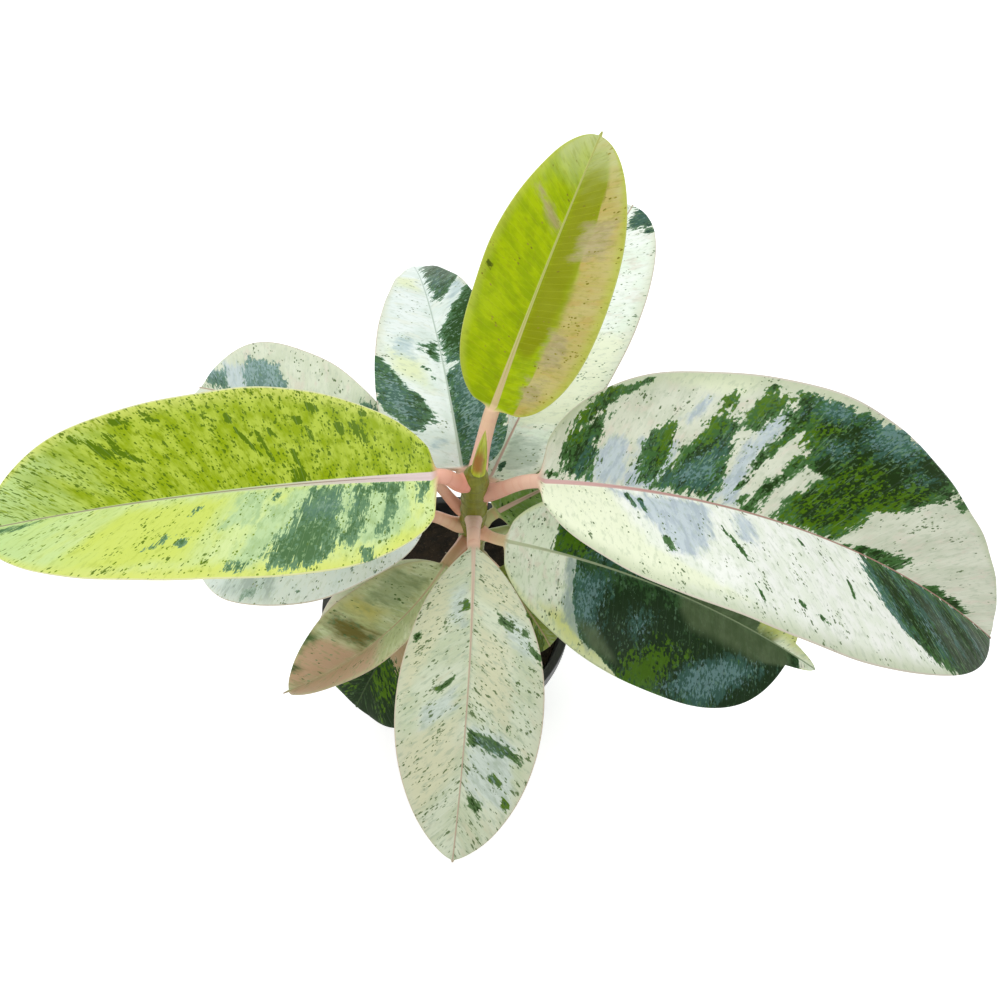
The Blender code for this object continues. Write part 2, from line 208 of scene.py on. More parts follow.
# The CAD's leaf values: lengths in metres, angles in degrees
LEAVES = {
    "leaf_01": dict(
        node=0.1155, heading=185.5, turn=-15, sweep=3.6, stalk=0.0115, rise=98, lift=3,
        droop=-12, blade=0.172, left=0.0395, right=0.0375, fold_left=8, fold_right=8,
        fold_more=25, base_fullness=0.4, base_skew=0.06, tip_fullness=0.45, tip_skew=0.05,
        drip=0.2, drip_breadth=2.8, thick=0.0027, wave=0.0012, wave_phase=0.3),
    "leaf_02": dict(
        node=0.1135, heading=62.5, turn=-18, sweep=-3, stalk=0.0235, rise=75, lift=53, droop=46,
        blade=0.102, left=0.0215, right=0.0262, fold_left=12, fold_right=12,
        base_fullness=0.4, tip_fullness=0.51, drip=0.03, thick=0.0026),
    "leaf_03": dict(
        node=0.107, heading=-5, sweep=-12.5, stalk=0.02, rise=70, lift=8, droop=-40,
        blade=0.192, left=0.056, right=0.047, fold_left=15, fold_right=15, base_fullness=0.51,
        base_skew=0.05, tip_fullness=0.51, tip_skew=0.04, drip=0.01, thick=0.0026, wave=0.002,
        wave_phase=0.1),
    "leaf_04": dict(
        node=0.094, heading=270, sweep=-6, stalk=0.013, rise=20, lift=5, droop=-30, blade=0.112,
        left=0.0265, right=0.0245, fold_left=5, fold_right=5, curl=15, base_fullness=0.78,
        tip_fullness=0.68, drip=0.015, wave=0.0014, wave_phase=0.55),
    "leaf_05": dict(
        node=0.082, heading=-10, turn=35, sweep=-13, stalk=0.009, rise=13, lift=-2, droop=-27,
        blade=0.132, left=0.036, right=0.038, roll=15, fold_left=0, fold_right=0, curl=15,
        tip_fullness=0.34, drip=0.18, drip_breadth=3, thick=0.0021, wave=0.0016,
        wave_phase=0.7),
    "leaf_06": dict(
        node=0.102, heading=100, turn=-20, stalk=0.006, rise=30, lift=14, droop=-46, blade=0.136,
        left=0.0272, right=0.0226, fold_right=13, base_fullness=0.29, base_skew=0.03,
        tip_fullness=0.83, tip_skew=-0.12, wave_phase=0.4),
    "leaf_07": dict(
        node=0.088, heading=66, stalk=0.01, rise=40, lift=13, droop=-12, blade=0.15, left=0.03,
        right=0.0265, base_fullness=0.42, wave_phase=0.15),
    "leaf_08": dict(
        node=0.089, heading=151, stalk=0.018, rise=80, lift=6, droop=-28, blade=0.108,
        left=0.03, right=0.028, base_fullness=0.9, tip_fullness=0.34, thick=0.002),
    "leaf_09": dict(
        node=0.082, heading=184, sweep=3, stalk=0.015, rise=72, lift=0, droop=-25, blade=0.089,
        left=0.03, right=0.03, fold_left=5, fold_right=5, tip_fullness=0.42, wave_phase=0.8),
    "leaf_10": dict(
        node=0.0765, heading=240, sweep=-44, stalk=0.015, rise=35, lift=-8, droop=-16,
        blade=0.077, left=0.02, right=0.021, fold_left=55, base_fullness=0.55,
        tip_fullness=0.55, drip=0.06, thick=0.0021, wave_phase=0.6),
    "leaf_11": dict(
        node=0.067, heading=229, stalk=0.01, rise=20, lift=-25, droop=-60, blade=0.071,
        left=0.027, right=0.032, fold_left=5, fold_right=5, curl=15, base_fullness=0.6,
        tip_fullness=0.33),
    "leaf_12": dict(
        node=0.08, heading=32, stalk=0.005, rise=20, lift=0, droop=-25, blade=0.097, left=0.024,
        right=0.024, fold_left=5, fold_right=5, base_fullness=0.4),
    "leaf_13": dict(
        node=0.072, heading=6, stalk=0.018, rise=25, lift=-5, droop=-30, blade=0.084,
        left=0.016, right=0.016, fold_left=5, fold_right=5, thick=0.0018),
    "leaf_14": dict(
        node=0.062, heading=-46, stalk=0.008, rise=0, lift=-10, droop=-50, blade=0.038,
        left=0.018, right=0.018, fold_left=5, fold_right=5),
}

# How the side veins lean: their slope at the base, and what it gains towards the tip
VEIN_LEAN = (0.3, 1.0)
LEAF_VEINS = {"leaf_01": (0.15, 2.1), "leaf_02": (0.25, 0.8), "leaf_03": (0.3, 1.64),
              "leaf_04": (0.6, 0.6), "leaf_05": (0.1, 0.8)}

# Patches of colour: what it is, the half it is on, then rows of (distance from the midrib,
# from, to), where from and to are read along the midrib at the foot of the side vein. All mm.
LEFT, RIGHT = -1, 1
# A blue patch is partly the leaf's own bluish-grey layer and partly painted sheen, the gloss
# reflecting the sky
MARK_KINDS = ("dark", "bright", "blue", "grey", "warm", "lime")
MARK_LIMITS = (-6.0, 8.0)
FIRM_DEPTH = 3.2
LEAF_MARKS = {
    "leaf_01": (
        ("dark", LEFT, (2, 31.5, 44), (10, 31.5, 45.5), (18, 31, 47), (26, 30, 50), (31, 31, 50),
         (36, 38, 50)),
        ("dark", LEFT, (2, 22.5, 31), (5, 22.5, 29), (22, 23, 29), (24, 24, 31), (28, 26, 31)),
        ("dark", LEFT, (1, 11.5, 24), (5, 11.5, 23), (7, 12.5, 17.5), (16, 14, 18), (24, 16, 20)),
        ("dark", LEFT, (2, 3, 8), (6, 3.5, 7), (11, 4.5, 6.5)),
        ("dark", LEFT, (28, 20, 23), (34, 18, 22)),
        ("dark", LEFT, (33, 53, 60), (37, 54, 60)),
        ("blue", LEFT, (3, 26, 44), (10, 26, 45), (18, 34, 46)),
        ("grey", LEFT, (8, 46, 56), (26, 49, 58), (37, 52, 60)),
        ("grey", LEFT, (1, 56, 66), (18, 57, 68)),
        ("grey", LEFT, (1, 9, 50), (16, 9, 52), (27, 14, 52)),
        ("dark", LEFT, (1.5, 136, 148), (5, 137, 148)),
        ("dark", LEFT, (3, 53, 55), (7, 53.5, 55.5)),
        ("dark", LEFT, (19, 78.5, 82), (25, 80, 84)),
        ("dark", LEFT, (21, 73, 76), (25, 74, 76)),
        ("dark", LEFT, (6, 77, 79.5), (11, 77.5, 79.5)),
        ("warm", LEFT, (3, 70, 104), (32, 70, 108)),
        ("warm", LEFT, (22, -8, 12), (40, -8, 24)),
        ("warm", LEFT, (33, 20, 90), (40, 20, 90)),
        ("lime", RIGHT, (-30, -9, 165), (45, -9, 165)),
        ("bright", RIGHT, (-6, -9, 170), (45, -9, 170)),
        ("dark", RIGHT, (17, 95.5, 98.5), (20, 95.5, 99), (25, 97, 101)),
        ("dark", RIGHT, (13.5, 89, 92), (17, 91, 94), (20, 92.5, 95), (25.5, 92, 94)),
        ("dark", RIGHT, (23, 100.5, 102.5), (26, 101, 103)),
        ("dark", RIGHT, (28.5, 85.5, 89), (31.5, 86, 89.5)),
        ("dark", RIGHT, (28, 78.5, 81), (30.5, 78.5, 81)),
        ("dark", RIGHT, (24.5, 58.5, 61.5), (28, 59.5, 62)),
        ("dark", RIGHT, (11, 55.3, 56.8), (15, 56.8, 58.4), (19, 58, 59.8), (23, 59.3, 60.7)),
        ("dark", RIGHT, (9, 52.4, 53.8), (14, 53.2, 54.8), (21, 53.5, 54.9)),
        ("dark", RIGHT, (0, 44.5, 49.3), (4, 44.3, 49), (6.5, 44, 49.2)),
        ("dark", RIGHT, (6.5, 44.6, 46.4), (13, 45.5, 47)),
        ("dark", RIGHT, (17, 26.5, 30), (22, 28, 31)),
        ("dark", RIGHT, (14, 21.4, 23), (18, 22, 25), (22, 23, 26)),
        ("dark", RIGHT, (26, 34, 37), (30, 34.5, 37.5)),
        ("dark", RIGHT, (24, 18.5, 22), (26.5, 19.5, 22.5)),
        ("dark", RIGHT, (22, 39.5, 42), (25, 40, 42.5)),
        ("dark", RIGHT, (15, 37.8, 39.2), (21, 38.5, 40)),
        ("dark", RIGHT, (17.5, 48.6, 50.6), (21.5, 50, 52)),
    ),
    "leaf_02": (
        ("lime", LEFT, (-30, -9, 110), (30, -9, 110)),
        ("lime", RIGHT, (-30, -9, 106), (4, -9, 94), (6, -9, 90), (9, 4, 82), (11, 26, 66),
         (12, 32, 52)),
        ("warm", RIGHT, (-1, 24, 96), (5, 20, 92), (7, 22, 88), (10, 30, 80), (12, 34, 46)),
        ("dark", LEFT, (17, 39, 41.5), (20, 40, 42)),
        ("grey", LEFT, (1, 66, 69), (8, 66.5, 70.5), (13, 70, 72.5)),
        ("grey", RIGHT, (10, 19, 33), (13, 18, 32), (18, 20, 30)),
        ("grey", RIGHT, (7, 56, 69), (18, 56, 68)),
        ("grey", RIGHT, (8, 4, 14), (15, 6, 14)),
    ),
    # leaf_03's blue patches are mostly painted sheen, bluish-white where its gloss reflects the
    # sky
    "leaf_03": (
        ("dark", LEFT, (1.5, 2, 7), (4.5, 2, 7)),
        ("dark", LEFT, (1.5, 7, 18), (5, 6.5, 17.5), (10, 6, 17), (15, 6, 16), (20, 8, 15.5),
         (27.5, 11.5, 14.5)),
        ("blue", LEFT, (1, 10, 18), (10, 11, 17), (18, 11, 16)),
        ("dark", LEFT, (12, 4, 9), (20, 4, 9)),
        ("dark", LEFT, (19, 4, 8.5), (26, 5.2, 11), (31, 7, 15), (34.5, 9, 16.5),
         (37, 11.5, 20), (39, 16, 21)),
        ("dark", LEFT, (38, 17, 20.5), (41.5, 20, 22.5), (44, 21.5, 23.5)),
        ("bright", LEFT, (16, 2, 7), (27, 3, 8.5), (34, 6, 11), (44, 12, 20)),
        ("grey", LEFT, (1, 17, 31), (10, 16, 28), (19, 18, 25)),
        ("dark", LEFT, (3, 33, 38), (8, 32, 41), (16, 29.5, 40.5), (23, 30, 37), (28, 34, 37)),
        ("bright", LEFT, (14, 35, 41), (27, 33, 38)),
        ("grey", LEFT, (1, 29, 46), (10, 29, 44), (20, 28, 40)),
        ("blue", LEFT, (3, 32, 38), (22, 30, 34)),
        ("grey", LEFT, (28, 37.5, 41), (42, 40.5, 44)),
        ("dark", LEFT, (1, 39, 62), (6, 40, 62), (12, 42.5, 60), (18, 43.5, 58), (24, 45, 56),
         (30, 45, 55), (34, 45, 52)),
        ("blue", LEFT, (1, 39, 62), (10, 41, 61), (16, 45, 59), (24, 48, 57), (32, 50, 54)),
        ("dark", LEFT, (34, 45.4, 48.6), (40, 45, 50), (46, 46.5, 49.5)),
        ("bright", LEFT, (22, 44, 49), (46, 45, 51)),
        ("dark", LEFT, (30, 54.5, 59.5), (37, 53.5, 62), (46, 54, 63), (49, 57, 63)),
        ("bright", LEFT, (38, 52, 57), (50, 52, 64)),
        ("dark", LEFT, (47, 53.5, 56.5), (52, 55, 58)),
        ("grey", LEFT, (1, 60, 70), (12, 60.5, 67), (30, 59.5, 66), (42, 62, 68)),
        ("dark", LEFT, (8, 65.6, 67.4), (16, 65, 69), (26, 65, 69), (34, 65.6, 71), (40, 66, 70)),
        ("dark", LEFT, (2, 68.8, 71), (6, 69.4, 71.4)),
        ("dark", LEFT, (0, 72, 77.3), (12, 73, 78), (20, 74.5, 80), (28, 75.5, 80)),
        ("dark", LEFT, (0, 84, 109), (8, 83.2, 110), (17, 85.6, 109.5), (21, 86, 114),
         (25, 77, 115), (30, 75.5, 117.5), (40, 69, 118), (52, 66, 114)),
        ("dark", LEFT, (34, 66.5, 76), (40, 64, 76), (52, 62, 76)),
        ("blue", LEFT, (27, 79, 90), (34, 76, 90), (40, 75, 86)),
        ("blue", LEFT, (40, 64, 80), (48, 66, 84), (56, 62, 84)),
        ("blue", LEFT, (36, 86, 102), (44, 82, 104), (62, 76, 106)),
        ("blue", LEFT, (30, 104, 112), (44, 102, 112)),
        ("bright", LEFT, (26, 70, 76), (34, 71, 76), (42, 72, 77)),
        ("bright", LEFT, (2, 86, 91), (20, 89, 93), (32, 92, 96)),
        ("bright", LEFT, (2, 95, 99), (16, 97, 101), (28, 99, 103)),
        ("bright", LEFT, (2, 103, 110), (14, 104, 110), (34, 108, 113)),
        ("dark", LEFT, (-1, 109, 137), (3, 118, 137), (7, 130, 136)),
        ("dark", LEFT, (-1, 148, 173), (3, 152, 173)),
        ("dark", LEFT, (36, 121, 125), (43, 118, 124)),
        ("warm", LEFT, (44, 26, 50), (56, 26, 52)),
        ("lime", RIGHT, (-30, -9, 195), (47, -9, 195)),
        ("warm", RIGHT, (-1, -6, 24), (24, -6, 34), (40, 20, 60)),
        ("grey", RIGHT, (1, 26, 62), (11, 34, 58), (19, 38, 54), (26, 40, 48)),
        ("grey", RIGHT, (2, 68, 76), (14, 66, 72)),
        ("blue", RIGHT, (1, 26, 44), (14, 30, 44)),
        ("dark", RIGHT, (19, 38, 40), (25, 39, 42)),
        ("dark", RIGHT, (2, 29.5, 31.5), (8, 31.5, 33.5)),
        ("dark", RIGHT, (4, 33.5, 36.5), (10, 34.5, 36)),
        ("dark", RIGHT, (9, 60.6, 62.2), (16, 62.6, 64.4), (23, 64.7, 66)),
        ("dark", RIGHT, (5, 90.6, 92), (8, 91, 92.4)),
        ("dark", RIGHT, (14, 103.2, 104.8), (22, 101, 102.3)),
        ("dark", RIGHT, (32, 75.6, 78), (35, 77.4, 79.4)),
        ("dark", RIGHT, (34.5, 80.4, 83.6), (37, 82.4, 85)),
        ("dark", RIGHT, (31, 62.8, 64), (39, 63.4, 64.6)),
        ("dark", RIGHT, (-1, 121, 198), (6, 116, 194), (12, 115.5, 186), (18, 115, 172),
         (25, 117.5, 148), (30, 126, 138)),
        ("blue", RIGHT, (-3, 109, 124), (10, 108, 124), (30, 111, 126)),
        ("blue", RIGHT, (-3, 128, 139), (28, 128, 139)),
        ("blue", RIGHT, (-3, 143, 155), (20, 143, 153)),
        ("blue", RIGHT, (-3, 160, 171), (16, 159, 168)),
    ),
    "leaf_04": (
        ("dark", LEFT, (9, 20.5, 24), (15, 21, 24.5)),
        ("dark", LEFT, (17.5, 20, 23), (20, 20, 23)),
        ("dark", LEFT, (20, 23.5, 26), (25, 25.5, 29)),
        ("grey", LEFT, (12, 18, 28), (24, 18, 30)),
        ("dark", LEFT, (19, 11.5, 15), (21.5, 12, 15)),
        ("bright", LEFT, (18, 10, 16), (23, 10, 16)),
        # A painted sheen band: a dark green-grey edge grading into a painted light-blue highlight
        ("dark", LEFT, (1, 67, 72), (8, 62.5, 68), (15, 60.5, 64.5), (20, 60, 62.5)),
        ("grey", LEFT, (1, 64, 86), (8, 60, 84), (18, 58, 78)),
        ("blue", LEFT, (1, 64, 82), (8, 60, 79), (18, 58, 73)),
        ("dark", LEFT, (13.5, 54.5, 57), (15.5, 54.5, 57)),
        ("dark", LEFT, (9, 72.5, 76), (14, 72, 75)),
        ("dark", LEFT, (14, 75.5, 79), (17, 76, 79)),
        ("bright", LEFT, (12, 74, 81), (19, 74, 81)),
        ("dark", LEFT, (2.5, 85, 90.5), (7.5, 84.5, 89)),
        ("dark", RIGHT, (1, 20, 24.5), (3.5, 20, 24)),
        ("dark", RIGHT, (5, 45.5, 48.5), (11, 46.5, 48.5)),
        ("bright", RIGHT, (1, 18, 26), (12, 44, 50)),
        ("dark", RIGHT, (17.5, 22.5, 26), (20, 23, 25.5)),
        ("grey", RIGHT, (2, 14, 30), (8, 14, 26)),
        ("grey", RIGHT, (4, 50, 58), (16, 50, 58)),
        ("warm", RIGHT, (8, 2, 26), (24, 2, 46)),
        ("warm", RIGHT, (2, 60, 80), (24, 56, 90)),
        ("warm", LEFT, (2, -4, 20), (20, 0, 18)),
        ("warm", LEFT, (2, 28, 56), (14, 30, 54)),
    ),
    "leaf_05": (
        ("dark", RIGHT, (-1, 28, 124), (10, 27.5, 124), (20, 29.5, 124), (28, 33.5, 124),
         (33, 43, 124), (39, 52, 124)),
        ("grey", RIGHT, (-1, 24, 30), (14, 24, 30), (24, 26, 36), (32, 37, 46)),
        ("blue", RIGHT, (0, 24, 46), (16, 24, 42), (28, 28, 44)),
        # Painted sheen: bluish-white patches where the dark blade reflects the sky
        ("blue", RIGHT, (8, 98, 111), (15, 84, 105), (22, 72, 98), (30, 66, 90), (39, 54, 82)),
        ("blue", RIGHT, (10, 50, 62), (24, 46, 58)),
        ("bright", RIGHT, (20, 64, 74), (28, 52, 66), (39, 46, 64)),
        # On this leaf the lime patches are grey-olive, a dull painted sheen on the dark blade
        ("lime", RIGHT, (-30, 68, 124), (5, 70, 118), (10, 74, 102)),
        ("lime", RIGHT, (22, 31, 39), (32, 40, 48)),
        ("warm", RIGHT, (20, 16, 28), (34, 30, 48)),
        ("dark", LEFT, (-1, 18, 104), (6, 18, 100), (14, 18, 96), (24, 22, 90), (36, 36, 82)),
        ("blue", LEFT, (-1, 26, 54), (8, 28, 50)),
        ("lime", LEFT, (-30, 68, 124), (14, 72, 106)),
        ("warm", LEFT, (2, 98, 132), (14, 96, 124), (24, 90, 116)),
        ("bright", LEFT, (1, 18, 32), (10, 18, 32), (20, 20, 30)),
    ),
    "leaf_06": (
        ("dark", LEFT, (6.5, 17, 21), (9, 17, 25), (12, 13, 29.5), (16, 12, 32), (20, 14, 38),
         (24, 18, 42), (28, 24, 42)),
        ("blue", LEFT, (11, 12, 27), (20, 14, 36), (28, 20, 42)),
        ("warm", LEFT, (7, 32, 44), (20, 36, 48)),
        ("dark", LEFT, (0.5, 48, 58), (3, 46, 56), (7, 50, 53)),
        ("dark", LEFT, (5.5, 40, 42), (9, 41, 43)),
        ("dark", LEFT, (4, 36.5, 38), (5.5, 36.5, 38)),
        ("grey", LEFT, (10, 44, 54), (18, 44, 54)),
        ("grey", LEFT, (5, 8, 12), (10, 6, 10)),
        ("dark", LEFT, (2, 126, 140), (12, 124, 136)),
        ("warm", LEFT, (2, 92, 106), (12, 92, 104)),
        # The right half's blue patches are partly painted sheen: light bands where the gloss
        # reflects the sky
        ("dark", RIGHT, (-1, -6, 40), (4, -6, 43), (10, -6, 44), (20, 4, 46)),
        ("blue", RIGHT, (-1, -6, 46), (14, -6, 46), (20, 0, 46)),
        ("dark", RIGHT, (0.5, 47, 62), (5, 43, 67), (9, 42, 73), (16, 42, 80), (22, 44, 82)),
        ("dark", RIGHT, (1.5, 82, 124), (6, 80, 124), (10, 84, 124), (16, 90, 118)),
        ("blue", RIGHT, (2, 84, 104), (10, 86, 108)),
        ("grey", RIGHT, (8, 74, 84), (18, 80, 90)),
    ),
    "leaf_07": (
        ("dark", RIGHT, (1, 4, 7), (3, 4, 10)),
        ("grey", RIGHT, (1, 4, 20), (14, 4, 18)),
        ("dark", RIGHT, (2, 128, 150), (12, 128, 150)),
        ("blue", RIGHT, (2, 128, 150), (12, 128, 150)),
        ("dark", RIGHT, (10, 122.5, 126), (16, 121, 125)),
        ("warm", RIGHT, (-1, 24, 70), (26, 24, 66)),
        ("dark", LEFT, (5, 52, 66), (18, 54, 64), (26, 56, 62)),
        ("grey", LEFT, (4, 48, 72), (28, 50, 70)),
        ("dark", LEFT, (2, 104, 120), (12, 106, 116)),
        ("dark", LEFT, (10, 18, 26), (22, 20, 26)),
    ),
    "leaf_08": (
        ("dark", RIGHT, (1, 60, 82), (10, 62, 82), (18, 66, 80)),
        ("dark", RIGHT, (1, 90, 104), (10, 90, 102)),
        ("blue", RIGHT, (1, 58, 106), (24, 60, 104)),
        ("grey", RIGHT, (1, 78, 92), (14, 78, 92)),
        ("dark", RIGHT, (2, 20, 34), (16, 22, 32)),
        ("dark", LEFT, (3, 40, 62), (14, 42, 60), (26, 46, 56)),
        ("grey", LEFT, (2, 36, 68), (28, 40, 64)),
        ("dark", LEFT, (-1, 84, 96), (8, 82, 92)),
        ("warm", LEFT, (-1, 0, 34), (20, 0, 30)),
    ),
    "leaf_09": (
        ("dark", LEFT, (24, 36, 38), (26, 36, 38)),
        ("dark", LEFT, (21, 50, 54), (25, 50, 54)),
        ("grey", LEFT, (14, 44, 66), (30, 44, 60)),
        ("blue", LEFT, (2, 10, 80), (30, 20, 70)),
        ("dark", RIGHT, (2, 30, 48), (16, 32, 46), (26, 34, 42)),
        ("grey", RIGHT, (1, 24, 56), (28, 28, 52)),
        ("dark", RIGHT, (4, 64, 74), (14, 62, 70)),
    ),
    "leaf_10": (
        ("warm", LEFT, (-1, 36, 74), (20, 34, 72)),
        ("grey", RIGHT, (3, 8, 24), (16, 8, 26)),
        ("lime", RIGHT, (6, 25, 33), (20, 25, 32)),
        ("dark", RIGHT, (1, 35, 44), (9, 35, 43), (17, 35, 41)),
        ("bright", RIGHT, (-1, 32, 46), (18, 32, 45)),
        ("dark", RIGHT, (13, 47, 60), (20, 46, 62)),
        ("dark", RIGHT, (6, 62, 68), (12, 61, 66)),
        ("warm", RIGHT, (-1, 44, 72), (12, 45, 72), (16, 56, 70)),
    ),
    "leaf_11": (
        ("dark", LEFT, (-6, 40, 84), (28, 38, 84)),
        ("dark", RIGHT, (-6, 40, 84), (34, 38, 84)),
        ("warm", LEFT, (-1, 26, 43), (28, 26, 42)),
        ("warm", RIGHT, (-1, 26, 43), (34, 26, 42)),
        ("dark", LEFT, (4, 8, 18), (20, 10, 18)),
        ("bright", LEFT, (-1, 42, 54), (9, 41, 54)),
        ("bright", RIGHT, (8, 52, 68), (24, 48, 66)),
    ),
    "leaf_12": (
        ("dark", LEFT, (3, 20, 60), (22, 22, 58)),
        ("dark", RIGHT, (2, 40, 84), (22, 40, 78)),
        ("bright", LEFT, (1, 10, 90), (24, 10, 90)),
        ("bright", RIGHT, (1, 10, 90), (24, 10, 90)),
    ),
    "leaf_13": (
        ("grey", LEFT, (2, 20, 50), (14, 22, 48)),
        ("dark", RIGHT, (2, 34, 52), (12, 36, 50)),
        ("dark", LEFT, (1, 60, 72), (8, 60, 70)),
    ),
    "leaf_14": (
        ("dark", LEFT, (2, 8, 22), (16, 8, 22)),
        ("dark", RIGHT, (1, 14, 34), (16, 14, 30)),
        ("bright", LEFT, (-1, 0, 36), (18, 0, 36)),
        ("bright", RIGHT, (-1, 0, 36), (18, 0, 36)),
    ),
}

# Leaf colours as screen values from 0 to 255, how ragged its patches are, how many flecks it
# has, and the strength and pitch of its side veins as lines
LEAF_SPECULAR = 0.13
LEAF_COLOURS = dict(
    ground=(214, 218, 194), ground_light=(230, 234, 214), blush=(224, 214, 196),
    streak=(238, 240, 226), margin=(222, 226, 200), edge=(222, 208, 192), warm=(228, 232, 196),
    lime=(168, 194, 40), lime_deep=(140, 170, 20), grey=(192, 204, 204),
    grey_deep=(162, 178, 180), deep=(24, 46, 8), mid=(56, 94, 38), thin=(112, 146, 100),
    # teal and blue fill the blue patches: partly the leaf's own colour, partly painted sheen
    teal=(62, 102, 88), blue=(126, 156, 154), bright=(84, 122, 0), fleck=(76, 102, 52),
    fleck_light=(140, 158, 118), line=(240, 240, 220),
    rib=(206, 196, 168), rib_base=(220, 188, 176), rib_core=(180, 140, 126),
    stalk=(224, 164, 142), stalk_end=(232, 192, 168), stalk_shade=(212, 142, 122),
    under=(190, 200, 168), tip=(226, 230, 204), ghost=(176, 190, 166), tip_from=1.2,
    raggedness=11.0, crumbling=2.0, fingers=5.0, cracks=0.0, softness=0.0, lime_softness=0.0,
    mosaic=1.0, threads=0.3,
    teal_share=0.65, blue_share=0.5, bright_share=0.75, ghosts=0.3, lime_ghosts=0.0,
    fine_flecks=0.7, coarse_flecks=0.4, lime_flecks=0.0, ground_lines=0.04, green_lines=0.03,
    line_pitch=5.2, lime_over_green=0.0, rib_width=1.1, seed=0.0)
